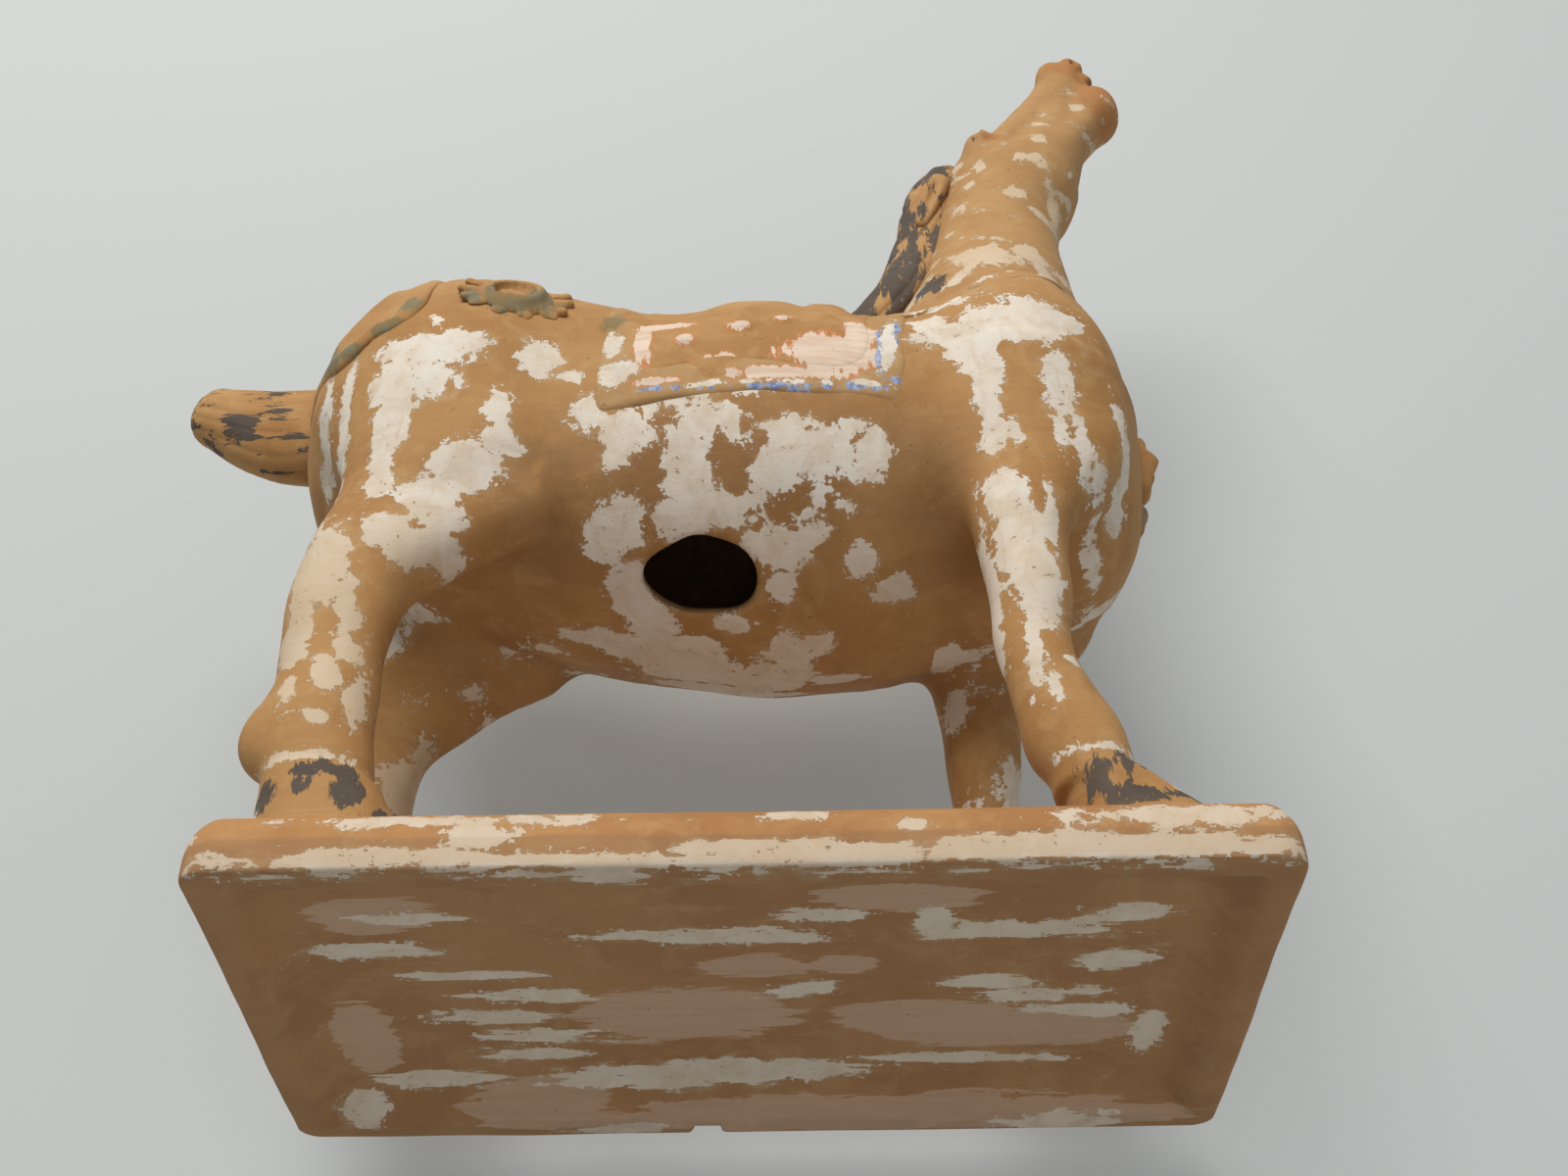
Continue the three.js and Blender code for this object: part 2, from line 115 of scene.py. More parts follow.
# Solid limbs and crest, as rings too
TAIL = [
    [-126, 0, 211, 11, 16], [-142, 0, 209, 12.5, 18.5], [-157, 0, 211.5, 11.5, 16.5], [-172, 0, 217, 10, 12],
    [-183, 0, 222, 8, 8],
]
MANE = [
    [73, 0, 338, 7, 6], [68, 0, 321, 10, 12], [64.5, 0, 300, 11, 13], [60.5, 0, 285, 12, 13],
    [54, 0, 270, 12.5, 12], [43, 0, 256.5, 11, 9.5], [27, 0, 246, 8, 5],
]
EAR = [[69, -10, 325, 2.2, 3.6], [64.5, -11, 313, 3.0, 4.6], [60, -11, 297, 1.6, 2.0]]
LEFT_INSET = 6  # the left legs stand this much closer to the middle
FORE_STAGGER = -7  # and this much behind the right ones
HIND_STAGGER = -6
WALL = 6


# ---------------------------------------------------------------- signed distance fields
class Field:
    """Signed distances in millimetres on a regular grid: below zero is clay."""

    def __init__(self, low, high, step):
        self.low = np.array(low, np.float32)
        self.step = step
        self.shape = tuple(int(math.ceil((b - a) / step)) + 1 for a, b in zip(low, high))
        self.values = np.full(self.shape, FAR, np.float32)

    def twin(self):
        """A field on the same grid, with no clay in it yet."""
        twin = Field.__new__(Field)
        twin.low, twin.step, twin.shape = self.low, self.step, self.shape
        twin.values = np.full(self.shape, FAR, np.float32)
        return twin

    def window(self, low, high):
        first = [max(0, int((l - o) / self.step)) for l, o in zip(low, self.low)]
        last = [min(n, int((h - o) / self.step) + 2) for h, o, n in zip(high, self.low, self.shape)]
        return tuple(slice(a, max(a, b)) for a, b in zip(first, last))

    def axes(self, window=EVERYWHERE):
        """Coordinates of the window's points, as three arrays that broadcast together."""
        shapes = ((-1, 1, 1), (1, -1, 1), (1, 1, -1))
        lines = [o + self.step * np.arange(n, dtype=np.float32) for o, n in zip(self.low, self.shape)]
        return [line[w].reshape(s) for line, w, s in zip(lines, window, shapes)]

    def add(self, form, soft=0.0):
        """Joins a form on, with a fillet about as wide as soft."""
        window, distance = form
        self.values[window] = -soft_max(-self.values[window], -distance, soft)

    def cut(self, form, soft):
        """Takes a form away."""
        window, distance = form
        self.values[window] = soft_max(self.values[window], -distance, soft)


def soft_max(a, b, soft):
    """The larger of two distances, rounded off where they are closer than soft."""
    if not soft:
        return np.maximum(a, b)
    near = np.maximum(soft - np.abs(a - b), 0) / soft
    return np.maximum(a, b) + near * near * (soft / 4)


def sample(field, points):
    """The field's distance at each point, interpolated between its grid points."""
    place = (np.asarray(points, np.float32) - field.low) / field.step
    place = np.clip(place, 0, np.array(field.shape) - 1.001)
    cell = place.astype(np.int32)
    part = place - cell
    total = np.zeros(len(place), np.float32)
    for corner in np.ndindex(2, 2, 2):
        share = np.prod(np.where(corner, part, 1 - part), axis=1)
        at = cell + corner
        total += share * field.values[at[:, 0], at[:, 1], at[:, 2]]
    return total


def refine(field, low, high, step):
    """Part of a field on a finer grid of its own."""
    fine = Field(low, high, step)
    x, y, z = np.broadcast_arrays(*fine.axes())
    points = np.stack([x.ravel(), y.ravel(), z.ravel()], axis=1)
    fine.values = sample(field, points).reshape(fine.shape)
    return fine


def egg_distance(offsets, radii):
    """Distance to an ellipsoid, given offsets from its centre along its own axes."""
    scaled = sum((o / r) ** 2 for o, r in zip(offsets, radii))
    steep = sum((o / (r * r)) ** 2 for o, r in zip(offsets, radii))
    k = np.sqrt(scaled)
    return k * (k - 1) / np.sqrt(np.maximum(steep, 1e-9))


def egg(field, centre, radii, lean=0.0, reach=16):
    """An ellipsoid that leans by an angle in degrees in the XZ plane, its top towards +X."""
    big = max(radii) + reach
    window = field.window([c - big for c in centre], [c + big for c in centre])
    x, y, z = [a - c for a, c in zip(field.axes(window), centre)]
    s, c = math.sin(math.radians(lean)), math.cos(math.radians(lean))
    return window, egg_distance((c * x - s * z, y + 0 * x, s * x + c * z), radii)


def spline(stations, count):
    """Points on a smooth curve through the stations, all five numbers at once."""
    s = np.array(stations, float)
    s = np.vstack([2 * s[0] - s[1], s, 2 * s[-1] - s[-2]])
    at = np.linspace(0, len(stations) - 1, count)
    i = np.minimum(at.astype(int), len(stations) - 2)
    t = (at - i)[:, None]
    a, b, c, d = s[i], s[i + 1], s[i + 2], s[i + 3]
    return 0.5 * (2 * b + (c - a) * t + (2 * a - 5 * b + 4 * c - d) * t**2 + (3 * b - a - 3 * c + d) * t**3)


def rings_of(stations, domes, grow):
    """Even rings along a limb, without the lengths at its ends that its domes take up."""
    dense = spline(stations, 12 * len(stations))
    run = np.linalg.norm(np.diff(dense[:, :3], axis=0), axis=1)
    length = np.concatenate([[0], np.cumsum(run)])
    at = np.linspace(domes[0], length[-1] - domes[1], 3 * len(stations))
    rings = np.stack([np.interp(at, length, column) for column in dense.T], axis=1)
    rings[:, 3:] += grow
    return rings


def tube(field, stations, domes, grow=0.0, reach=16):
    """A limb through elliptical rings, domed at its ends. grow fattens it all over."""
    rings = rings_of(stations, domes, grow)
    big = rings[:, 3:].max(axis=1)[:, None] + reach
    window = field.window((rings[:, :3] - big).min(0), (rings[:, :3] + big).max(0))
    distance = np.full(field.values[window].shape, FAR, np.float32)
    part = Field.__new__(Field)
    part.step, part.shape = field.step, distance.shape
    part.low = field.low + field.step * np.array([w.start for w in window], np.float32)
    last = len(rings) - 2
    for i, (p, q, big_p) in enumerate(zip(rings[:-1], rings[1:], big[:, 0])):
        run = q[:3] - p[:3]
        length = np.linalg.norm(run)
        tangent = run / length
        side = np.array([0, 1, 0]) - tangent[1] * tangent
        side /= np.linalg.norm(side)
        depth = np.cross(tangent, side)
        near = part.window(np.minimum(p[:3], q[:3]) - big_p, np.maximum(p[:3], q[:3]) + big_p)
        x, y, z = [axis - c for axis, c in zip(part.axes(near), p[:3])]
        along = tangent[0] * x + tangent[1] * y + tangent[2] * z
        t = np.clip(along / length, 0, 1)
        half_width = (p[3] + t * (q[3] - p[3])).astype(np.float32)
        half_depth = (p[4] + t * (q[4] - p[4])).astype(np.float32)
        first_end = domes[0] + grow if i == 0 else min(p[3], p[4]) / 2
        last_end = domes[1] + grow if i == last else min(q[3], q[4]) / 2
        end = np.where(along < 0, max(first_end, 1), max(last_end, 1)).astype(np.float32)
        offsets = (
            side[0] * x + side[1] * y + side[2] * z,
            depth[0] * x + depth[1] * y + depth[2] * z,
            along - t * length,
        )
        d = egg_distance(offsets, (half_width, half_depth, end))
        np.minimum(distance[near], d.astype(np.float32), out=distance[near])
    return window, distance


def bar(field, start, end, radius, reach=6):
    """A round bar with domed ends."""
    low = np.minimum(start, end) - radius - reach
    high = np.maximum(start, end) + radius + reach
    window = field.window(low, high)
    x, y, z = [a - c for a, c in zip(field.axes(window), start)]
    run = np.array(end, float) - start
    t = np.clip((x * run[0] + y * run[1] + z * run[2]) / (run @ run), 0, 1)
    return window, np.sqrt((x - t * run[0]) ** 2 + (y - t * run[1]) ** 2 + (z - t * run[2]) ** 2) - radius


def left(stations, back=0.0, inset=0.0):
    """The stations of the left side, from those of the right."""
    return [[x + back, -y - inset, z, a, b] for x, y, z, a, b in stations]


def rounded_rectangle(x, y, length, width, corner):
    px = np.abs(x) - (length / 2 - corner)
    py = np.abs(y) - (width / 2 - corner)
    outside = np.sqrt(np.maximum(px, 0) ** 2 + np.maximum(py, 0) ** 2)
    return outside + np.minimum(np.maximum(px, py), 0) - corner


def plinth_form(field):
    """A slab with rounded shoulders, hollowed underneath to a rim, with a thumb nick in the left rim."""
    length, width, height = PLINTH
    foot, shoulder = 5.0, 13.0
    window = field.window((-length / 2 - 8, -width / 2 - 8, -6), (length / 2 + 8, width / 2 + 8, height + 14))
    x, y, z = field.axes(window)
    wander = 0.25 * np.sin(x / 23 + 1) + 0.18 * np.sin(y / 17 + x / 41)
    edge = rounded_rectangle(x, y, length, width, 7) - 0.4 + wander
    walls = soft_max(edge + 0 * z, -z, 2.0)
    over = np.sqrt(np.maximum(edge / shoulder + 1, 0) ** 2 + np.maximum((z - foot) / (height - foot), 0) ** 2)
    solid = soft_max(walls, (over - 1) * shoulder, 1.0)
    rim, slope, deep = 9.0, 9.0, 8.0
    slant = math.hypot(slope, deep)
    pan = soft_max((edge + rim + z * slope / deep) * deep / slant, z - deep + 0.5 * wander, 3.0)
    nick = np.sqrt((x + 14) ** 2 + z**2) - 4.2
    nick = np.maximum(nick, np.abs(y - width / 2) - 4.5)
    return window, soft_max(soft_max(solid, -pan, 1.6), -nick, 1.0)


# ---------------------------------------------------------------- the horse's skin
def hoof_form(field, hoof, side, back, inset):
    (x0, z0, long0, wide0), (x1, z1, long1, wide1) = hoof
    y0 = side * (HOOF_Y - inset)
    low = (x0 + back - 45, y0 - 26, 8)
    window = field.window(low, (x0 + back + 50, y0 + 26, z0 + 12))
    x, y, z = field.axes(window)
    t = np.clip((z0 - z) / (z0 - z1), -0.1, 1.3)
    ahead = x - back - x0 - (x1 - x0) * t
    around = egg_distance((ahead, y - y0), (long0 + (long1 - long0) * t, wide0 + (wide1 - wide0) * t))
    crown = z - z0 + 0.12 * (x - back - x0)
    return window, soft_max(soft_max(around, crown, 3.5), 12 - z + 0 * x, 1)


def add_leg(skin, stations, hoof, side, back, inset):
    placed = left(stations, back, inset) if side > 0 else stations
    skin.add(tube(skin, placed, (8, 2)), 9)
    skin.add(hoof_form(skin, hoof, side, back, inset), 1.5)


def sculpt_muscles(skin, side, back, inset):
    """Shoulder, forearm, breast, haunch and stifle, and the hollows of flank and groin."""
    skin.add(egg(skin, (82, side * 36, 196), (25, 21, 40), 8), 12)
    skin.add(egg(skin, (92, side * 36, 164), (19, 15, 26), -4), 10)
    skin.add(egg(skin, (97, side * 16, 176), (18, 17, 28), 6), 8)
    skin.add(egg(skin, (-88, side * 37, 181), (31, 23.5, 42), 12), 10)
    skin.add(egg(skin, (-76, side * 38, 158), (22, 18, 22), 30), 12)
    skin.add(egg(skin, (-100, side * 27, 198), (18, 22, 24), 20), 8)
    skin.cut(egg(skin, (-49, side * 70, 172), (12, 12, 42), -10), 14)
    skin.cut(egg(skin, (-84 + back, side * 11, 109), (34, 23, 25), 12), 6)
    hip, stifle = (-66 + back, side * (41 - inset), 140), (-99 + back, side * (43 - inset), 119)
    skin.add(bar(skin, hip, stifle, 8.5), 10)
    skin.cut(egg(skin, (56, side * 68, 176), (8, 10, 34), 8), 12)


def sculpt_head(skin):
    """Jowls, brows, eyes, cheek ridges, nostrils and the parted mouth."""
    for side in (-1, 1):
        skin.add(egg(skin, (101, side * 10, 326), (14, 8.5, 17), 20), 6)
        skin.add(egg(skin, (84, side * 10.5, 341), (6, 5, 7.5), 30), 4)
        skin.cut(egg(skin, (86, side * 18.4, 341.5), (5.2, 3, 2.6), 62), 1.5)
        skin.add(egg(skin, (85.6, side * 15.6, 341.6), (3.4, 1.8, 1.7), 58), 0.6)
        skin.add(bar(skin, (88, side * 15, 334), (105, side * 11.5, 360), 1.5), 4)
        skin.cut(bar(skin, (96, side * 18.6, 342), (111, side * 13.5, 368), 2.6), 6)
        skin.add(egg(skin, (114.5, side * 5.5, 389), (5.5, 5, 6), 25), 3)
        skin.add(egg(skin, (122, side * 7, 390.2), (5.2, 5, 5), 25), 0.8)
        skin.cut(egg(skin, (123.5, side * 11, 391.5), (1.7, 2.6, 2.4), 25), 0.8)
        skin.add(egg(skin, (126.5, side * 4.5, 384.5), (4.6, 4.6, 4.2), 10), 1.6)
        skin.add(bar(skin, (112, side * 4, 336), (105, side * 6, 300), 3), 6)
        skin.cut(bar(skin, (128.5, side * 14, 378.5), (119, side * 15, 371), 1.3), 2.5)
    skin.add(egg(skin, (129, 0, 369.5), (10, 11, 9.5), 20), 3)
    skin.cut(bar(skin, (135, -10, 386), (135, 10, 386), 3.2), 2)
    skin.cut(bar(skin, (130, -16, 382.5), (130, 16, 382.5), 1.7), 1.5)


def horse_skin():
    skin = Field((-168, -80, -3), (146, 80, 406), SKIN_STEP)
    skin.add(tube(skin, TRUNK, (24, 20)))
    skin.add(tube(skin, NECK, (6, 6)), 10)
    skin.add(tube(skin, HEAD, (10, 9)), 7)
    skin.add(tube(skin, JAW, (5, 8)), 5)
    for side in (-1, 1):
        back_fore, back_hind, inset = (FORE_STAGGER, HIND_STAGGER, LEFT_INSET) if side > 0 else (0, 0, 0)
        add_leg(skin, FORELEG, FORE_HOOF, side, back_fore, inset)
        add_leg(skin, HINDLEG, HIND_HOOF, side, back_hind, inset)
        sculpt_muscles(skin, side, back_hind, inset)
        skin.add(egg(skin, (-124 + back_hind, side * (47 - inset), 54), (6, 7, 9)), 5)
        skin.add(egg(skin, (78 + back_fore, side * (46 - inset), 52), (5, 6, 8)), 5)
    sculpt_head(skin)
    skin.add(plinth_form(skin), 3)
    outer = skin.twin()
    outer.values = skin.values.copy()
    hollow = skin.twin()
    for stations, domes in ((TRUNK, (24, 20)), (NECK, (6, 6)), (HEAD[:5], (10, 6))):
        hollow.add(tube(hollow, stations, domes, grow=-WALL, reach=8), 6)
    skin.values = soft_max(skin.values, -hollow.values, 1.5)
    skin.cut(vent_hole(skin), 1.6)
    return skin, outer


def vent_hole(field):
    """An oval hand-cut hole through the belly, looking down and to the right."""
    centre = np.array([-13.0, -27.0, 125.0])
    axis = np.array([0.0, -0.46, -0.888])
    across = np.array([0.0, -0.888, 0.46])
    window = field.window(centre - 34, centre + 34)
    x, y, z = [a - c for a, c in zip(field.axes(window), centre)]
    u = x + 0 * y + 0 * z
    v = across[1] * y + across[2] * z + 0 * x
    w = axis[1] * y + axis[2] * z + 0 * x
    around = np.arctan2(v, u)
    ragged = 0.5 * np.sin(3 * around + 0.7) + 0.35 * np.sin(5 * around + 2)
    oval = egg_distance((u, v), (16.8, 12.2)) + ragged - 0.02 * np.abs(w)
    return window, np.maximum(oval, np.abs(w) - 20)


# ---------------------------------------------------------------- fields into meshes
CORNERS = np.array(list(np.ndindex(2, 2, 2)))
EDGES = [(a, b) for a in range(8) for b in range(a + 1, 8) if np.abs(CORNERS[a] - CORNERS[b]).sum() == 1]


def untangled(values):
    """Fills grid corners where the surface would touch itself along an edge."""
    for _ in range(6):
        clay = values < 0
        fill = np.zeros_like(clay)
        for axis in range(3):
            corners = []
            for shift in ((0, 0), (1, 0), (0, 1), (1, 1)):
                cut = [slice(None)] * 3
                for other, step in zip(((axis + 1) % 3, (axis + 2) % 3), shift):
                    cut[other] = slice(step, -1 if step == 0 else None)
                corners.append(tuple(cut))
            a, b, c, d = (clay[corner] for corner in corners)
            crossed = (a & d & ~b & ~c) | (b & c & ~a & ~d)
            for corner in corners:
                fill[corner] |= crossed
        fill &= ~clay
        if not fill.any():
            break
        values = np.where(fill, np.float32(-0.05), values)
    return values


def net(field):
    """Points and quads of the field's zero surface, one point in each cell that it crosses."""
    v = untangled(field.values)
    clay = v < 0
    count = sum(
        clay[a : a - 1 or None, b : b - 1 or None, c : c - 1 or None].astype(np.int8) for a, b, c in CORNERS
    )
    cells = np.argwhere((count > 0) & (count < 8))
    index = np.full([n - 1 for n in v.shape], -1, np.int32)
    index[tuple(cells.T)] = np.arange(len(cells))
    corner_values = np.stack([v[tuple((cells + c).T)] for c in CORNERS], axis=1)
    total = np.zeros((len(cells), 3))
    hits = np.zeros(len(cells))
    for a, b in EDGES:
        va, vb = corner_values[:, a], corner_values[:, b]
        cross = (va < 0) != (vb < 0)
        t = np.where(cross, va / np.where(cross, va - vb, 1), 0)
        total += np.where(cross[:, None], CORNERS[a] + t[:, None] * (CORNERS[b] - CORNERS[a]), 0)
        hits += cross
    points = (cells + total / hits[:, None]) * field.step + field.low
    quads = []
    for axis in range(3):
        u, w = (axis + 1) % 3, (axis + 2) % 3
        lower = [slice(1, -1)] * 3
        upper = [slice(1, -1)] * 3
        lower[axis], upper[axis] = slice(0, -1), slice(1, None)
        here, there = clay[tuple(lower)], clay[tuple(upper)]
        start = np.array([1, 1, 1])
        start[axis] = 0
        for out, found in ((True, here & ~there), (False, ~here & there)):
            at = np.argwhere(found) + start
            eu, ew = np.eye(3, dtype=int)[u], np.eye(3, dtype=int)[w]
            ring = [at, at - eu, at - eu - ew, at - ew]
            ids = np.stack([index[tuple(r.T)] for r in ring], axis=1)
            quads.append(ids if out else ids[:, ::-1])
    return points, np.concatenate(quads)


def relaxed(points, quads, field):
    """Evens the points out over the surface, then sets them back on it."""
    pairs = np.concatenate([quads[:, [i, (i + 1) % 4]] for i in range(4)])
    degree = np.bincount(pairs[:, 0], minlength=len(points)) + np.bincount(pairs[:, 1], minlength=len(points))
    for _ in range(EVENING_ROUNDS):
        mean = np.empty_like(points)
        for axis in range(3):
            mean[:, axis] = np.bincount(pairs[:, 0], points[pairs[:, 1], axis], len(points))
            mean[:, axis] += np.bincount(pairs[:, 1], points[pairs[:, 0], axis], len(points))
        points = 0.5 * points + 0.5 * mean / degree[:, None]
        step = 0.5 * field.step
        slope = np.empty_like(points)
        for axis in range(3):
            shift = np.zeros(3)
            shift[axis] = step
            slope[:, axis] = (sample(field, points + shift) - sample(field, points - shift)) / (2 * step)
        size = np.maximum((slope**2).sum(1), 0.2)
        move = -sample(field, points) / size
        points = points + np.clip(move, -field.step / 2, field.step / 2)[:, None] * slope
    return points


def lumps(points, seed, size):
    """Gentle unevenness of hand-pressed clay, from a few crossed waves."""
    rng = np.random.default_rng(seed)
    total = np.zeros(len(points))
    for _ in range(9):
        direction = rng.normal(size=3)
        direction *= rng.uniform(0.7, 1.5) / (size * np.linalg.norm(direction))
        total += np.sin(points @ direction * 2 * math.pi + rng.uniform(0, 6.3))
    return total / 3


def make_object(name, points, faces):
    """A mesh object in the frame's metres from points in millimetres from the plinth's foot."""
    mesh = bpy.data.meshes.new(name)
    size = faces.shape[1]
    mesh.vertices.add(len(points))
    mesh.vertices.foreach_set("co", (points * MM + ORIGIN).astype(np.float32).ravel())
    mesh.loops.add(faces.size)
    mesh.loops.foreach_set("vertex_index", faces.astype(np.int32).ravel())
    mesh.polygons.add(len(faces))
    mesh.polygons.foreach_set("loop_start", np.arange(0, faces.size, size, dtype=np.int32))
    mesh.update(calc_edges=True)
    mesh.validate()
    thing = bpy.data.objects.new(name, mesh)
    bpy.context.scene.collection.objects.link(thing)
    return thing


def carve_mesh(name, field, lump, lump_size=30):
    """The field's surface as an object, a little uneven, and calmer near the plinth."""
    points, quads = net(field)
    points = relaxed(points, quads, field)
    wave = lumps(points, len(name), lump_size)
    normal = points_normals(points, quads)
    calm = np.clip((points[:, 2] - 18) / 20, 0.25, 1)
    points = points + (lump * calm * wave)[:, None] * normal
    return make_object(name, points, quads)


def points_normals(points, quads):
    a, b, c, d = (points[quads[:, i]] for i in range(4))
    face = np.cross(c - a, d - b)
    total = np.zeros_like(points)
    for i in range(4):
        for axis in range(3):
            total[:, axis] += np.bincount(quads[:, i], face[:, axis], len(points))
    return total / np.maximum(np.linalg.norm(total, axis=1), 1e-9)[:, None]


def prism(outline, y_low, y_high):
    """A cutter: an outline in the XZ plane, drawn out from y_low to y_high."""
    n = len(outline)
    bottom = [(x, y_low, z) for x, z in outline]
    top = [(x, y_high, z) for x, z in outline]
    mesh = bpy.data.meshes.new("cutter")
    faces = [tuple(range(n)), tuple(range(2 * n - 1, n - 1, -1))]
    faces += [(i, i + n, (i + 1) % n + n, (i + 1) % n) for i in range(n)]
    points = np.array(bottom + top) * MM + ORIGIN
    mesh.from_pydata([tuple(p) for p in points], [], faces)
    area = sum(x0 * z1 - x1 * z0 for (x0, z0), (x1, z1) in zip(outline, outline[1:] + outline[:1]))
    if area < 0:
        mesh.flip_normals()
    mesh.update()
    return bpy.data.objects.new("cutter", mesh)


def cut_out(skin, name, outline, y_low=-BEYOND, y_high=BEYOND):
    """The part of the skin inside a prism, as a closed piece of its own."""
    piece = bpy.data.objects.new(name, skin.data.copy())
    cutter = prism(outline, y_low, y_high)
    for thing in (piece, cutter):
        bpy.context.scene.collection.objects.link(thing)
    change = piece.modifiers.new("cut", "BOOLEAN")
    change.operation = "INTERSECT"
    change.solver = "MANIFOLD"
    change.object = cutter
    graph = bpy.context.evaluated_depsgraph_get()
    mesh = bpy.data.meshes.new_from_object(piece.evaluated_get(graph), depsgraph=graph)
    piece.modifiers.clear()
    piece.data = mesh
    bpy.data.objects.remove(cutter)
    return piece


# ---------------------------------------------------------------- applied pieces
HIP = np.array([-71.0, 52.4, 216.0])  # middle of a rosette, on the left side
HIP_TILT = 0.42  # radians that its face leans up


def patch(outer, low, high, thickness, area, sunk=1.6):
    """A skin-hugging layer: thickness and area are functions of x, y, z; area is below zero inside."""
    fine = refine(outer, low, high, FINE_STEP)
    x, y, z = fine.axes()
    inside = area(x, y, z)
    body = fine.values
    fine.values = soft_max(body - thickness(x, y, z, inside), inside + 0 * body, 2.2)
    fine.values = np.maximum(fine.values, -sunk - body).astype(np.float32)
    return fine


def bump(value, middle, half):
    """1 in the middle, and a third of that at half."""
    return np.exp(-(((value - middle) / half) ** 2))


def flaps(x, long_height, short_height):
    """The seat's long and short flap, as flat-topped swellings along the back."""
    return long_height * np.exp(-(((x - 3) / 15.5) ** 4)) + short_height * np.exp(-(((x - 25) / 6.5) ** 4))


def cloth_area(x, y, z):
    wave = 0.7 * np.sin(x / 13.0 + 1.3) + 0.3 * np.sin(x / 4.1)
    slant = x - 0.06 * (z - 200)
    ends = soft_max(-43.5 - slant, slant - 48.5, 4) + 0.4 * np.sin(z / 5.0)
    return soft_max(ends, 166.5 + wave - z, 4) + 0 * y


def cloth_thickness(x, y, z, inside):
    ridge = bump(inside, -3.0, 2.2)
    crease = np.sin(x / 6.5 + 0.05 * z) * np.sin(z / 11.0)
    return 0.3 + 0.3 * ridge + 0.12 * crease


def cover_area(x, y, z):
    low = 178 + 2.0 * np.cos((x + 6) / 9.0)
    slant = x - 0.06 * (z - 200)
    return soft_max(soft_max(-32 - slant, slant - 38, 5) + 0.4 * np.sin(z / 4.0), low - z, 9) + 0 * y


def cover_thickness(x, y, z, inside):
    """Thin at its edge, with four nubs, and two swellings where the seat's flaps press through."""
    nubs = flaps(x, 3.4 * bump(z, 224, 13), 3.0 * bump(z, 226, 11))
    for at_x, at_z in ((-18, 190), (-1, 196.5), (11, 201), (24, 206)):
        nubs = nubs + 1.7 * bump(x, at_x, 3.4) * bump(z, at_z, 2.6)
    return 0.4 + 1.1 * np.clip(-inside / 16, 0, 1) + nubs + 0.15 * np.sin(x / 5.3) * np.sin(z / 4.7)


def seat_area(x, y, z):
    """A seat that reaches down each side in two rounded flaps."""
    ends = np.abs(x - 2.5) - 28 + 0.02 * y**2
    return soft_max(soft_max(ends + 0 * z, np.abs(y) - 29 - flaps(x, 6, 4), 7), 206 - z, 3)


def seat_thickness(x, y, z, inside):
    wide = np.abs(y)
    sides = flaps(x, 3.4 * bump(wide, 34, 12), 3.0 * bump(wide, 33, 10))
    cantle = 7 * bump(x, -20, 5) * bump(y, 0, 15)
    pommel = 7.5 * bump(x, 26, 4.5) * bump(y, 0, 11)
    return 1.7 + 1.3 * np.clip(-inside / 7, 0, 1) + sides + cantle + pommel


def pad_area(x, y, z):
    front = x + 98 - 0.08 * (z - 210) + 0.8 * np.sin(y / 8.0)
    edge = 193 + 0.34 * np.maximum(x + 125, 0) + 0.8 * np.sin(x / 3.1) - z
    return soft_max(front, edge + 0 * y, 10)


def pad_thickness(x, y, z, inside):
    rim = bump(inside, -4.5, 2.6)
    fold = 0.35 * np.sin((z + 0.7 * x) / 4.5) * np.clip(-inside / 12, 0, 1)
    broken = 0.75 + 0.35 * np.sin((x - z) / 3.7) * np.sin((x + z) / 9.0)
    return 0.8 + 1.1 * rim * broken + fold + 0 * y


def seated(field, body, sunk=0.7):
    """The field without what lies deeper than sunk under the skin."""
    field.values = np.maximum(field.values, -sunk - body.values).astype(np.float32)
    return field


def on_hip(outer, side, reach, step):
    """An empty field, the skin on its grid, and offsets along, across and out of the skin at a rosette."""
    normal = np.array([0, side * math.cos(HIP_TILT), math.sin(HIP_TILT)])
    along = np.array([1.0, 0, 0])
    centre = HIP * (1, side, 1)
    field = Field(centre - reach, centre + reach, step)
    body = refine(outer, centre - reach, centre + reach, step)
    x, y, z = [a - c for a, c in zip(field.axes(), centre)]
    offsets = [a[0] * x + a[1] * y + a[2] * z for a in (along, np.cross(normal, along), normal)]
    return field, body, *offsets


def rosette_leaves(outer, side):
    """Curled leaf lobes at both ends of the cup, on a low ring of petals."""
    field, body, u, w, _ = on_hip(outer, side, 24, FINE_STEP)
    for i in range(10):
        angle = 2 * math.pi * i / 10
        c, s = math.cos(angle), math.sin(angle)
        along, across = c * u + s * w, c * w - s * u
        reach = 9.5 + 3.0 * c * c
        petal = egg_distance((along - reach, across, body.values - 0.2), (5.0, 3.0, 1.0))
        field.add((EVERYWHERE, petal), 1.2)
    for end in (-1, 1):
        for k in range(3):
            angle = (k - 1) * 0.42
            c, s = end * math.cos(angle), math.sin(angle)
            along, across = c * u + s * w, c * w - s * u
            lobe = egg_distance((along - 14.0, across, body.values - 0.6), (3.2, 1.9, 1.5))
            curl = egg_distance((along - 16.4, across, body.values - 1.1), (1.5, 1.6, 1.3))
            vein = egg_distance((along - 13.4, across, body.values - 2.2), (2.8, 0.6, 0.7))
            field.add((EVERYWHERE, np.maximum(lobe, -vein)), 0.7)
            field.add((EVERYWHERE, curl), 0.6)
    return seated(field, body)


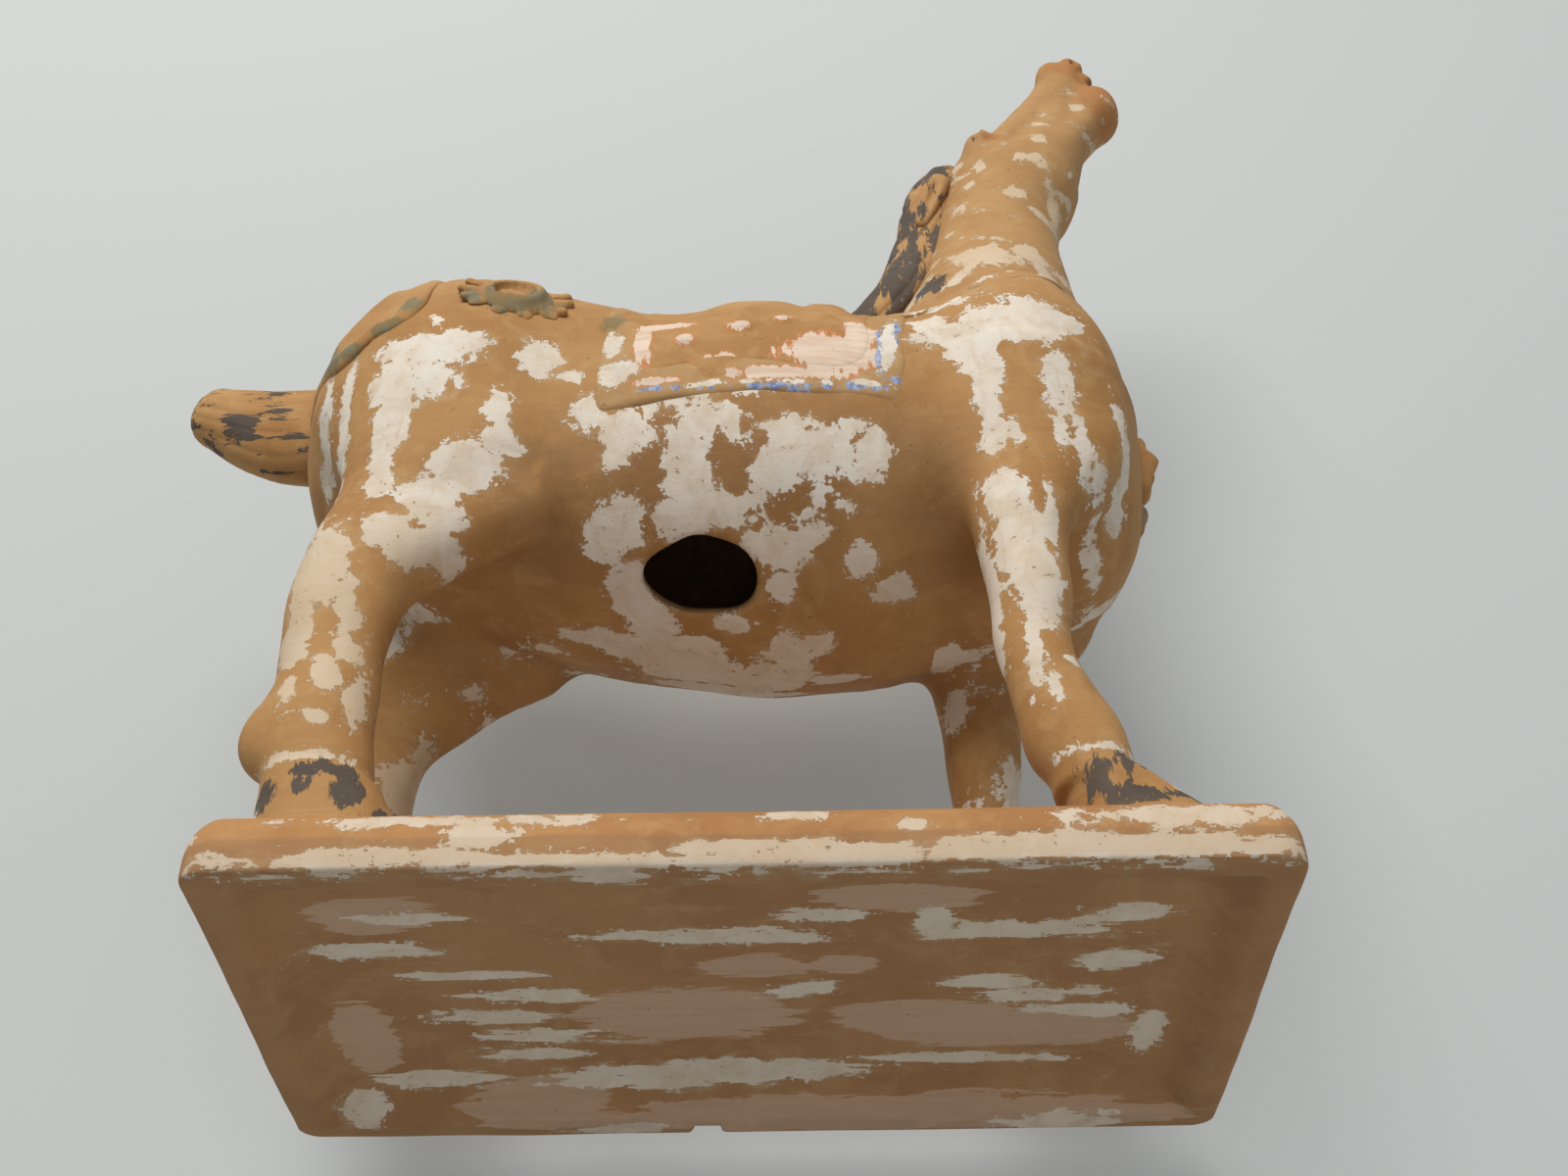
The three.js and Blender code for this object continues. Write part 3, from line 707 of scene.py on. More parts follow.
def rosette_cup(outer, side):
    """A shallow fluted cup with a rolled rim and a smooth bulging base."""
    field, body, u, w, h = on_hip(outer, side, 18, DETAIL_STEP)
    radius, angle = np.hypot(u, w), np.arctan2(w, u)
    field.add((EVERYWHERE, egg_distance((radius - 0 * h, body.values - 0.2), (12.2, 3.0))))
    rim = np.sqrt((radius - 7.6) ** 2 + (h - 2.3) ** 2) - 1.15
    field.add((EVERYWHERE, rim), 3.0)
    flutes = 0.9 * np.abs(np.cos(angle * 7))
    bowl = egg_distance((radius + 0 * h, h - 4.6), (7.2 - flutes, 4.3))
    field.cut((EVERYWHERE, bowl), 0.9)
    return seated(field, body)


def strap_field(outer):
    """The breast strap: a band across the neck's root and the breast."""

    def area(x, y, z):
        across = (z - 228 - 0.36 * (x - 84)) / math.hypot(1, 0.36)
        return np.maximum(np.abs(across) - 4.2 + 0.2 * np.sin(x / 3 + y / 5), 46 - x)

    def thickness(x, y, z, inside):
        return 0.45 + 0.4 * bump(inside, -1.3, 0.7) + 0 * z

    return patch(outer, (44, -58, 205), (132, 58, 252), thickness, area)


def plaque_field(outer):
    """A small upright plaque hung at the breast, over the strap's pendant."""
    low, high = (104, -12, 166), (138, 12, 208)
    field = Field(low, high, DETAIL_STEP)
    body = refine(outer, low, high, DETAIL_STEP)
    _, y, z = field.axes()
    shield = np.hypot(np.maximum(np.abs(y) - 2.4, 0), np.maximum(np.abs(z - 189) - 8.4, 0)) - 3.2
    grown = body.values - 3.6 - 0.9 * bump(shield, -2.0, 1)
    field.values = soft_max(grown, shield + 0 * body.values, 1.2)
    return seated(field, body)


def bell_field():
    """A round harness bell with a collar and a slit."""
    centre = (116, 0, 168)
    field = Field((104, -12, 155), (130, 12, 182), DETAIL_STEP)
    field.add(egg(field, centre, (8.2, 8.2, 8.6), reach=4))
    x, y, z = field.axes()
    ring = np.sqrt((np.hypot(x - centre[0], y) - 7.9) ** 2 + (z - 169) ** 2) - 1.1
    field.add((EVERYWHERE, ring), 0.8)
    slit = np.maximum(np.abs(y) - 0.8, z - 166) + 0 * x
    slit = np.maximum(slit, 6.4 - np.sqrt((x - centre[0]) ** 2 + y**2 + (z - centre[2]) ** 2))
    field.cut((EVERYWHERE, slit), 0.8)
    field.add(bar(field, (117, 0, 174), (118, 0, 179), 2.2, reach=3), 1.5)
    return field


def mane_field(outer):
    """A raised crest with combed strands."""
    low, high = (10, -20, 226), (90, 20, 352)
    field = Field(low, high, FINE_STEP)
    field.add(tube(field, MANE, (5, 8)))
    x, y, z = field.axes()
    lock = 0.89 * x - 0.45 * z + 1.6 * np.sin(z / 9.0) - 0.9 * np.abs(y)
    strands = np.abs(np.sin(lock / 1.9))
    field.values = field.values + 0.75 * (1 - strands) ** 2
    body = refine(outer, low, high, FINE_STEP)
    return seated(field, body, sunk=0.9)


def ear_field(side):
    """A leaf-shaped ear laid back against the mane."""
    spine = EAR if side < 0 else left(EAR)
    y = 11 * side
    field = Field((52, min(y - 9, y + 9), 288), (80, max(y - 9, y + 9), 336), DETAIL_STEP)
    field.add(tube(field, spine, (3, 3), reach=5))
    field.cut(bar(field, (68.5, y + side * 3.2, 323), (62, y + side * 3.2, 302), 1.6, reach=3), 1.0)
    return field


def tail_field():
    """A docked, upturned tail with combed strands."""
    field = Field((-190, -20, 186), (-112, 20, 238), FINE_STEP)
    field.add(tube(field, TAIL, (3, 9)))
    x, y, z = field.axes()
    around = np.arctan2(y, z - 211 - 0.004 * (x + 140) ** 2)
    strands = np.abs(np.sin(around * 7 + 0.6 * np.sin(x / 9.0)))
    fade = np.clip((-138 - x) / 14, 0, 1)
    field.values = (field.values + 0.35 * fade * (1 - strands) ** 2).astype(np.float32)
    field.add(egg(field, (-128, 0, 211), (10, 14, 19), reach=5), 3)
    return field


# ---------------------------------------------------------------- the pieces
# Where the skin is cut, as heights and as lines of points (x, z) seen from the side
SOLE = 22.4
HIP_LINE = 136
BELLY = [(-66, 128), (-60, 100), (55, 100), (62, 122)]
STRAP_LINE = [(150, 251.8), (60, 219.4), (30, 262)]
THROAT = [(40, 329), (114, 318), (150, 312)]
MOUTH = [(145, 390), (128, 382.5), (119, 371), (110, 352), (106, 338), (112, 329), THROAT[1]]


def main_pieces(skin):
    """Cuts the skin into plinth, legs, trunk, neck and head."""
    plinth = [(-BEYOND, -20), (BEYOND, -20), (BEYOND, SOLE), (-BEYOND, SOLE)]
    pieces = [cut_out(skin, "plinth_body", plinth)]
    outlines = {
        "hind_leg": [(-BEYOND, SOLE), (-60, SOLE), BELLY[1], BELLY[0], (-BEYOND, HIP_LINE)],
        "fore_leg": [(55, SOLE), (BEYOND, SOLE), (BEYOND, HIP_LINE), BELLY[3], BELLY[2]],
        "trunk_shell": [
            (-BEYOND, HIP_LINE), *BELLY, (BEYOND, HIP_LINE), (BEYOND, 270),
            *STRAP_LINE, (30, 300), (-BEYOND, 300),
        ],
        "neck_shell": [*STRAP_LINE, (30, 330), *THROAT],
        "head_shell": [*THROAT[:2], *reversed(MOUTH[:-1]), (160, 420), (40, 420)],
    }
    for side, low, high in (("right", -BEYOND, 0), ("left", 0, BEYOND)):
        for part, outline in outlines.items():
            pieces.append(cut_out(skin, f"{part}_{side}", outline, low, high))
    pieces.append(cut_out(skin, "jaw_piece", [*MOUTH, THROAT[2], (160, 390)]))
    return pieces


def add_pieces():
    skin, outer = horse_skin()
    whole = carve_mesh("skin", skin, lump=0.35)
    made = main_pieces(whole)
    bpy.data.objects.remove(whole)
    layers = {
        "saddle_cloth_layer": patch(outer, (-48, -66, 160), (52, 66, 254), cloth_thickness, cloth_area),
        "saddle_cover_layer": patch(outer, (-37, -68, 176), (42, 68, 254), cover_thickness, cover_area),
        "saddle_seat": patch(outer, (-36, -52, 198), (42, 52, 268), seat_thickness, seat_area, sunk=1.0),
        "crupper_layer": patch(outer, (-166, -66, 180), (-88, 66, 264), pad_thickness, pad_area),
        "breast_strap_band": strap_field(outer),
        "plaque_relief": plaque_field(outer),
        "bell_round": bell_field(),
        "mane_crest": mane_field(outer),
        "tail_stub": tail_field(),
    }
    for side, word in ((-1, "right"), (1, "left")):
        layers[f"rosette_leaves_{word}_relief"] = rosette_leaves(outer, side)
        layers[f"rosette_cup_{word}_relief"] = rosette_cup(outer, side)
        layers[f"ear_{word}"] = ear_field(side)
    for name, field in layers.items():
        made.append(carve_mesh(name, field, lump=0.12, lump_size=12))
    return made, outer


# ---------------------------------------------------------------- painted masks
# Islands of white slip left on the clay: [x, y, z, radius x, radius y, radius z, lean in degrees]
FLANK_SLIP = [
    [-17, -45, 147, 6.5, 22, 20], [-13, -56, 159, 10, 12, 5.5], [-5, -57, 158, 3, 10, 5],
    [-38, -42, 133, 9, 14, 10], [-35, -26, 124, 7, 12, 7], [-29, -10, 121, 7, 9, 6],
    [-13, -41, 137, 15, 9, 5], [3, -33, 131, 6, 6, 6], [12, -34, 130, 7, 7, 7], [10, -24, 124, 4.5, 7, 5],
    [19, -38, 133, 6, 6, 3.5], [22, -51, 151, 16, 12, 7.5], [7, -48, 144, 8, 8, 5],
    [22, -44, 141, 4.5, 5, 4], [36, -52, 150, 6, 8, 7], [15, -55, 157, 6, 6, 4], [30, -55, 157, 5, 6, 3],
    [-47, -57, 167, 5, 8, 6], [-35, -54, 157, 7, 9, 7], [-38, -51, 151, 5, 6, 4], [-28, -57, 166, 1.8, 6, 6],
    [-17, -58, 167, 7, 6, 2.6], [1, -58, 168, 9, 5, 1.6], [33, -30, 127, 5, 7, 4], [45, -25, 122, 11, 5, 4],
    [57, -27, 122, 7, 4, 3], [28, -41, 137, 4, 5, 2],
]
BELLY_SLIP = [
    [-33, 3, 121, 12, 8, 9], [-15, 12, 120, 18, 10, 9], [3, 13, 120, 14, 11, 9], [12, -3, 119, 7, 8, 8],
    [20, -6, 119, 6, 4, 8], [24, 15, 120, 8, 4, 8], [-10, 26, 124, 22, 6, 9], [-20, 0, 120, 12, 7, 8],
    [-4, -12, 119, 5, 4, 8], [-45, 0, 124, 8, 4, 8],
]
HAUNCH_SLIP = [
    [-95, -59, 186, 13, 14, 5.5, 12], [-84, -59, 189, 7, 10, 4.5], [-101, -58, 175, 9, 12, 9],
    [-92, -60, 173, 8, 12, 7], [-103, -57, 158, 4.5, 14, 15, 12], [-104, -54, 142, 3.5, 10, 8],
    [-80, -57, 143, 9, 14, 8, 30], [-70, -58, 151, 5, 12, 5, 30], [-88, -55, 131, 8, 14, 9],
    [-98, -53, 119, 8, 14, 7], [-87, -48, 119, 9, 12, 3.5, 12], [-72, -60, 165, 3.5, 8, 6],
    [-61, -60, 187, 6, 8, 7], [-53, -59, 180, 5, 8, 2.5], [-119, -48, 168, 2, 14, 22],
    [-127, -36, 170, 2.5, 14, 22], [-93, -57, 199, 2, 5, 2.5], [-115, -54, 108, 8, 14, 15],
    [-107, -55, 96, 3.4, 10, 10], [-119, -50, 90, 4.5, 10, 16], [-105, -50, 78, 4, 10, 5],
    [-109, -56, 70, 4.5, 10, 6], [-101, -50, 64, 2.5, 10, 13], [-118, -52, 66, 2.2, 8, 8],
    [-110, -56, 55, 4, 6, 2.5], [-108, -58, 42.5, 14, 9, 1.6],
]
SHOULDER_SLIP = [
    [72, -57, 197, 20, 14, 9], [56, -58, 204, 8, 10, 6], [88, -52, 198, 12, 14, 11],
    [70, -58, 177, 4.5, 12, 12], [71, -58, 158, 3.5, 10, 11], [92, -50, 174, 4.5, 14, 13],
    [91, -48, 158, 2.5, 10, 8], [78, -55, 155, 2, 6, 4], [101, -40, 148, 2.5, 10, 8],
    [111, -25, 165, 2.5, 10, 11], [105, -32, 132, 5, 14, 5], [97, -50, 152, 2.2, 8, 12, -6],
    [112, -40, 158, 2.2, 9, 15, -8], [109, -30, 147, 3.5, 10, 6], [102, -14, 139, 3, 14, 3],
    [63, -58, 187, 5, 8, 2.5], [72, -57, 130, 6, 10, 9], [76, -57, 113, 8, 10, 14], [80, -56, 98, 7, 10, 12],
    [85, -54, 122, 2, 8, 13], [76.5, -57, 80, 2.4, 8, 15], [80, -57, 64, 2.2, 6, 7],
    [67, -46, 100, 2, 7, 30], [87, -54, 74, 2.6, 5, 2.5], [89, -60, 42, 11, 5, 1.2],
]
NECK_SLIP = [
    [92, -35, 232, 8, 12, 9], [82, -34, 257, 8, 12, 4.5], [94, -28, 264, 6, 10, 6, 30],
    [72, -40, 228, 9, 12, 3], [106, -20, 232, 3, 12, 20, -14], [80, -40, 240, 7, 8, 5],
    [86, -38, 241, 8, 10, 5.5], [98, -28, 250, 3.5, 10, 9], [62, -46, 215, 12, 10, 3],
    [78, -30, 260, 9, 12, 8, 30], [68, -33, 247, 7, 10, 2, -30], [72, -30, 252, 6, 10, 1.6, -30],
    [88, -40, 224, 7, 10, 4], [100, -19, 322, 5, 8, 2.6], [92, -22, 303, 4, 8, 2.4],
    [106, -12, 312, 1.8, 8, 16, -8], [82, -18, 322, 1.8, 6, 3], [77, -18, 311, 2, 5, 3],
    [73, -22, 298, 2, 5, 3], [104, -16, 338, 3, 8, 5],
]
PLINTH_WASH = [
    [38, -45, 0, 20, 6, 9], [2, -11, 0, 13, 6, 9], [25, -12, 0, 9, 4, 9], [-18, 15, 0, 28, 14, 9],
    [46, 17, 0, 22, 9, 9], [70, 27, 0, 30, 10, 9], [-105, 26, 0, 8, 20, 9], [-60, 60, 0, 20, 8, 9],
    [30, 66, 0, 90, 6, 9], [-92, -40, 0, 16, 8, 9],
]
PLINTH_SLIP = [
    [-12, -27, 0, 23, 3, 9], [18, -37, 0, 8, 2, 9], [14, 1, 0, 6, 3, 9], [62, -1, 0, 12, 3, 9],
    [75, 6, 0, 13, 3, 9], [88, 15, 0, 11, 3, 9], [66, -28, 0, 20, 3, 9], [47, -31, 0, 4, 6, 9],
    [94, -36, 0, 8, 3, 9], [94, -12, 0, 8, 3.4, 9], [-5, 49, 0, 34, 5, 9], [-34, 54, 0, 18, 3, 9],
    [55, 43, 0, 20, 2.6, 9], [-55, 27, 0, 12, 3.4, 9], [-62, 38, 0, 10, 2.8, 9], [-70, 15, 0, 14, 3, 9],
    [-58, 4, 0, 12, 2.6, 9], [-74, -8, 0, 13, 2, 9], [-98, -22, 0, 11, 3, 9], [-86, -38, 0, 12, 2.4, 9],
    [-92, 52, 0, 14, 3.4, 9], [108, 30, 0, 3, 9, 9], [84, 69, 0, 13, 4, 6], [-38, 70, 0, 13, 2.6, 6],
    [-112, 60, 0, 6, 5, 9], [-92, -76, 3, 34, 6, 2.6], [-30, -76, 1.5, 36, 6, 1.6], [22, -76, 3, 34, 6, 2.6],
    [86, -76, 3.5, 42, 6, 3.4], [-68, -71, 15, 30, 8, 2.4], [-62, -73, 10, 7, 7, 4], [12, -71, 16, 9, 8, 2],
    [40, -73, 11, 5, 8, 2], [102, -72, 13, 22, 8, 3.6], [-130, -60, 10, 6, 12, 4],
]
SLIP = FLANK_SLIP + BELLY_SLIP + HAUNCH_SLIP + SHOULDER_SLIP + NECK_SLIP + PLINTH_SLIP
BLACK = [
    [-104, -60, 37.5, 7, 10, 2.2], [-98, -58, 30, 5, 10, 4.5], [-109, -60, 32, 3, 8, 2],
    [-118, -54, 32, 3, 8, 4], [-92, -54, 24, 5, 8, 3], [94, -60, 36, 7, 9, 3], [87, -58, 30, 2.4, 10, 9],
    [94, -62, 25, 7, 8, 3.5], [112, -56, 26, 7, 9, 1.8], [104, -52, 36, 4, 8, 1.5],
    [-181, -4, 222, 5, 12, 8], [-172, -8, 209, 9, 12, 4], [-158, -10, 216, 7, 9, 6],
    [-150, -12, 200, 9, 9, 4], [-163, -10, 205, 6, 9, 3], [82, -16.5, 341, 3.4, 3.4, 2.2, 55],
    [58, -26, 254, 6, 10, 7, -40],
]
BLUE = [
    [7, -58, 169.2, 20, 8, 1], [15, -58, 167.6, 4, 8, 1.5], [37, -58, 170, 7, 8, 1.7],
    [44, -58, 174, 4, 8, 1.5], [-27, -58, 170.6, 7, 8, 1], [-37, -58, 180, 3.6, 8, 4],
    [42.5, -56, 191.5, 3.3, 14, 14.5, 8], [-40, -56, 190, 3, 8, 4],
]
PINK = [
    [25, -58, 184, 14, 12, 8], [8, -58, 174.5, 17, 10, 2.4], [34, -57, 194, 4.5, 12, 9],
    [-31, -56, 188, 2.4, 12, 9], [-25, -54, 200, 8, 10, 2], [-7.5, -58, 181, 6, 8, 1.9],
    [-18, -57, 190, 2.8, 7, 2.7], [-1, -57, 196.5, 2.8, 7, 2.6], [11, -56, 201, 2.6, 7, 2.4],
    [-27, -58, 173.4, 6, 8, 1.3],
]
WHITE_BAND = [
    [42.5, -56, 191.5, 2.6, 14, 13.5, 8], [-38, -56, 179, 5.5, 8, 5], [-40, -56, 190, 2.4, 8, 5],
    [37, -58, 171.4, 6, 8, 1.5], [5, -58, 170.8, 17, 8, 1.1],
]
GREEN = [
    [-123, -48, 197, 9, 24, 3.4], [-110, -54, 201, 8, 22, 3.4], [-102, -56, 209, 4, 20, 5],
    [-131, -30, 201, 6, 22, 6], [-71, -57, 212, 16, 14, 8], [-41, -50, 204, 5, 14, 8],
    [70, -44, 221, 7, 10, 2.6], [97, -36, 232, 5, 12, 2.6], [116, 0, 187, 8, 9, 12],
    [117, -6, 168, 9, 7, 10],
]
# Reddened clay on lips and chin
ORANGE = [
    [121, -7, 390, 9, 10, 8], [133, 0, 371, 13, 16, 14],
    [127, -4, 384, 6, 9, 6], [88, -18, 341, 4, 6, 4],
]


def depth_in(points, islands, soft=0.8):
    """How deep points lie in the nearest of some leaning ellipsoids: 0.5 at an edge, 1 well inside."""
    best = np.full(len(points), -9.0, np.float32)
    for x, y, z, rx, ry, rz, *lean in islands:
        s, c = math.sin(math.radians(sum(lean))), math.cos(math.radians(sum(lean)))
        dx, dy, dz = (points - (x, y, z)).T
        k = 0.92 * np.sqrt(((c * dx - s * dz) / rx) ** 2 + (dy / ry) ** 2 + ((s * dx + c * dz) / rz) ** 2)
        best = np.maximum(best, (1 - k) * np.minimum(min(rx, rz, ry) / 6, 1) ** 0.5)
    return np.clip(0.5 + soft * best, 0, 1)


def both_sides(points, islands):
    """Depth in islands that are alike on both sides of the horse."""
    return np.maximum(depth_in(points, islands), depth_in(points * (1, -1, 1), islands))


def slip_mask(points, below):
    """Placed islands on the right side and underneath, and random ones elsewhere."""
    x, y, z = points.T
    seen = np.where(below, depth_in(points * (1, 1, 0), PLINTH_SLIP, 0.7), depth_in(points, SLIP, 0.7))
    patchy = (0.2 + 0.27 * lumps(points, 9, 13)) * (x > 55) * np.clip((z - 228) / 15, 0, 1)
    seen = np.maximum(seen, patchy)
    far_side = lumps(points, 11, 46) * 0.34 + lumps(points, 5, 21) * 0.2 + 0.36
    unseen = np.clip((y + 2) / 14, 0, 1) * (z > 30)
    unseen = np.maximum(unseen, (x < 62) * np.clip((z - 205) / 8, 0, 1) * np.clip((y + 30) / 14, 0, 1))
    unseen = np.where((z < 130) & (np.abs(x) < 55) & (z > 100), 0, unseen)
    unseen = np.where((z <= 30) & (z > 9) & (y > -60), 1, unseen)
    return np.clip(seen * (1 - unseen) + far_side * unseen, 0, 1)


def thin_slip(points, below):
    """Where the slip is a thin, creamy film: neck and head, hind legs, and the plinth's sides."""
    x, _, z = points.T
    neck = np.clip((z - 222) / 40, 0, 1) * (x > 50)
    hind = 0.8 * (x < -85) * np.clip((128 - z) / 20, 0, 1) * (z > 30)
    return np.maximum(np.maximum(neck, hind), 0.55 * ((z > 1.5) & (z < 20) & ~below))


def vectors(source, key):
    """One vector per vertex, as an array."""
    values = np.empty(len(source) * 3, np.float32)
    source.foreach_get(key, values)
    return values.reshape(-1, 3)


# Masks held in colour attributes, four to each
LAYERS = {
    "paint_a": ("slip", "black", "streak_and_foot_shade", "shade_and_grime"),
    "paint_b": ("blue", "pink", "green", "pale"),
    "paint_c": ("orange", "flank_shade", "thin", "spare"),
}


def shared_masks(points, normals, outer):
    """The masks by name, for any piece of the horse."""
    x, y, z = points.T
    mirrored = points * (1, -1, 1)
    below = (z < 12) & (normals[:, 2] < -0.5)
    hooves = np.where(z < 45, depth_in(mirrored + (6, 6, 0), BLACK), 0)
    foot = ((z < 9) & (normals[:, 2] < 0.3)).astype(float)
    # open_air is low where clay closes round a point; those hollows get painted shade, with some grime
    open_air = sample(outer, points + 5 * normals) / 5
    return SimpleNamespace(
        slip=slip_mask(points, below),
        black=np.maximum(depth_in(points, BLACK), hooves),
        # the plinth's foot, facing down or aside, takes streaked slip and painted shade; the legs take
        # streaks only
        streak_and_foot_shade=np.maximum(foot, 0.4 * ((z > 45) & (z < 130))),
        shade_and_grime=np.clip(1 - open_air, 0, 1) * 0.8,
        blue=np.maximum(depth_in(points, BLUE), depth_in(mirrored, BLUE) * 0.8),
        pink=both_sides(points, PINK),
        green=both_sides(points, GREEN),
        pale=np.clip((z - 205) / 60, 0, 1),
        orange=both_sides(points, ORANGE),
        # painted shade on the lower flanks, partly the clay's own darker tone
        flank_shade=bump(z, 147, 19) * np.clip((76 - np.abs(x + 2)) / 18, 0, 1) * (np.abs(y) > 20),
        thin=thin_slip(points, below),
        spare=0 * z,
    )


def suit_masks(masks, name, points, normals, outer):
    """Changes the masks to suit one piece: its paint, its wear and its hollow inside."""
    x, _, z = points.T
    if name == "plinth_body":
        below = (z < 12) & (normals[:, 2] < -0.5)
        masks.pale = depth_in(points * (1, 1, 0), PLINTH_WASH) * below
        foot = (z < 9) & (normals[:, 2] < 0.3)
        masks.slip = np.where(foot, np.clip(masks.slip + 0.10, 0, 1), masks.slip)
    if name.startswith("saddle"):
        masks.slip = both_sides(points, WHITE_BAND)
    else:
        masks.blue = masks.pink = masks.spare
    if name == "mane_crest" or name.startswith("ear"):
        masks.slip = masks.slip * 0.35
        sooty = 0.5 + 0.16 * lumps(points, 4, 12) + 0.012 * (66 - x) - 0.2 * ("ear" in name)
        masks.black = np.clip(sooty, 0, 1)
    if name == "tail_stub":
        masks.slip = masks.slip * 0.3
        masks.streak_and_foot_shade = masks.streak_and_foot_shade + 1
        masks.black = np.clip(0.14 + 0.45 * masks.black + 0.14 * lumps(points, 4, 14), 0, 1)
    if name.startswith(("crupper", "rosette", "plaque", "bell", "breast")):
        masks.slip = masks.slip * (0.9 if name.startswith("breast") else 0.45)
    else:
        masks.green = masks.green * 0.8
    if name.startswith(("trunk", "plinth")):
        # the hollow inside gets no slip and the full darkening: painted shade, with some grime
        inner = sample(outer, points) < -3
        masks.slip = np.where(inner, 0, masks.slip)
        masks.shade_and_grime = np.where(inner, 1, masks.shade_and_grime)


def paint(piece, outer):
    """Stores the piece's masks on its mesh."""
    mesh = piece.data
    points = (vectors(mesh.vertices, "co") - ORIGIN) / MM
    normals = vectors(mesh.vertex_normals, "vector")
    masks = shared_masks(points, normals, outer)
    suit_masks(masks, piece.name, points, normals, outer)
    for label, names in LAYERS.items():
        layer = mesh.attributes.new(label, "FLOAT_COLOR", "POINT")
        channels = np.stack([getattr(masks, name) for name in names], axis=1)
        layer.data.foreach_set("color", channels.astype(np.float32).ravel())


# ---------------------------------------------------------------- material
class Wire:
    """A node's output, which plain arithmetic turns into further nodes."""

    def __init__(self, graph, socket):
        self.graph, self.socket = graph, socket

    def __add__(self, other):
        return self.graph.math("ADD", self, other)

    def __sub__(self, other):
        return self.graph.math("SUBTRACT", self, other)

    def __rsub__(self, other):
        return self.graph.math("SUBTRACT", other, self)

    def __mul__(self, other):
        return self.graph.math("MULTIPLY", self, other)


class Graph:
    """Short calls for building one material's nodes."""

    def __init__(self, name):
        self.material = bpy.data.materials.new(name)
        self.material.use_nodes = True
        self.tree = self.material.node_tree
        self.shader = self.tree.nodes["Principled BSDF"]
        self.place = Wire(self, self.node("ShaderNodeTexCoord").outputs["Object"])

    def node(self, kind, inputs=(), **settings):
        made = self.tree.nodes.new(kind)
        for key, value in settings.items():
            setattr(made, key, value)
        for key, value in dict(inputs).items():
            self.feed(made.inputs[key], value)
        return made

    def feed(self, socket, value):
        if isinstance(value, Wire):
            self.tree.links.new(value.socket, socket)
        elif isinstance(value, tuple) and len(value) == 3 and socket.type == "RGBA":
            socket.default_value = (*value, 1)
        else:
            socket.default_value = value

    def math(self, operation, a, b):
        return Wire(self, self.node("ShaderNodeMath", {0: a, 1: b}, operation=operation).outputs[0])

    def noise(self, scale, detail, rough, stretch=None, warp=0.0):
        place = self.place
        if stretch:
            place = Wire(self, self.node("ShaderNodeMapping", {0: place, 3: stretch}).outputs[0])
        inputs = {"Vector": place, "Scale": scale, "Detail": detail, "Roughness": rough, "Distortion": warp}
        return Wire(self, self.node("ShaderNodeTexNoise", inputs).outputs[0])

    def step(self, value, low, high):
        """0 below low, 1 above high, smooth between."""
        inputs = {0: value, 1: low, 2: high, 3: 0.0, 4: 1.0}
        return Wire(self, self.node("ShaderNodeMapRange", inputs, interpolation_type="SMOOTHSTEP").outputs[0])

    def mix(self, share, a, b):
        made = self.node("ShaderNodeMix", {0: share, 6: a, 7: b}, data_type="RGBA")
        return Wire(self, made.outputs[2])

    def channels(self, name):
        source = self.node("ShaderNodeAttribute", attribute_name=name)
        split = self.node("ShaderNodeSeparateColor", {0: Wire(self, source.outputs["Color"])})
        return [Wire(self, socket) for socket in (*split.outputs, source.outputs["Alpha"])]


def add_textures(g):
    """The noises that all layers share, and the painted masks."""
    for label, names in LAYERS.items():
        for name, wire in zip(names, g.channels(label)):
            setattr(g, name, wire)
    g.broad = g.noise(28, 3, 0.55)
    g.mottle = g.noise(90, 6, 0.65, warp=0.6)
    g.grain = g.noise(900, 4, 0.7)
    g.brushed = g.noise(420, 5, 0.65, stretch=(0.07, 1, 1))
    g.edge = g.noise(170, 8, 0.68, warp=0.4)
    g.streaky = g.noise(230, 8, 0.68, stretch=(0.16, 1, 1), warp=0.3)
    g.chip = g.noise(520, 3, 0.6)
    g.scratch = g.noise(150, 6, 0.75, stretch=(1, 1, 0.25), warp=0.8)
    g.pits = g.step(g.chip, 0.69, 0.75)


def bare_clay(g, light, deep, bright, plinth):
    """Mottled, brushed and pitted clay, redder at the lips, and darker on the flanks down towards the belly
    in painted shade, partly the clay's own darker tone.
    """
    colour = g.mix(g.step(g.broad, 0.38, 0.62), light, deep)
    colour = g.mix(g.step(g.mottle, 0.46, 0.66) * 0.55, colour, bright)
    if plinth:
        washed = g.step((g.streaky - 0.5) * 1.2 + g.pale, 0.49, 0.52)
        # the plinth's foot darkened: painted shade
        colour = g.mix(g.streak_and_foot_shade * 0.35, colour, (0.25, 0.15, 0.08))
        colour = g.mix(washed * 0.8, colour, (0.52, 0.345, 0.225))
    else:
        colour = g.mix(g.pale * 0.35, colour, (0.49, 0.30, 0.135))
    colour = g.mix(g.step(g.brushed, 0.42, 0.7) * 0.13, colour, (0.24, 0.125, 0.05))
    lips = g.step((g.mottle - 0.5) * 0.6 + g.orange, 0.42, 0.7)
    colour = g.mix(lips * 0.72, colour, (0.40, 0.16, 0.048))
    # painted shade on the flanks, partly darker clay
    shaded = g.flank_shade * g.step(g.broad + g.mottle, 0.6, 1.05)
    colour = g.mix(shaded * 0.62, colour, (0.235, 0.115, 0.045))
    return g.mix(g.pits * 0.55, colour, (0.16, 0.08, 0.035))


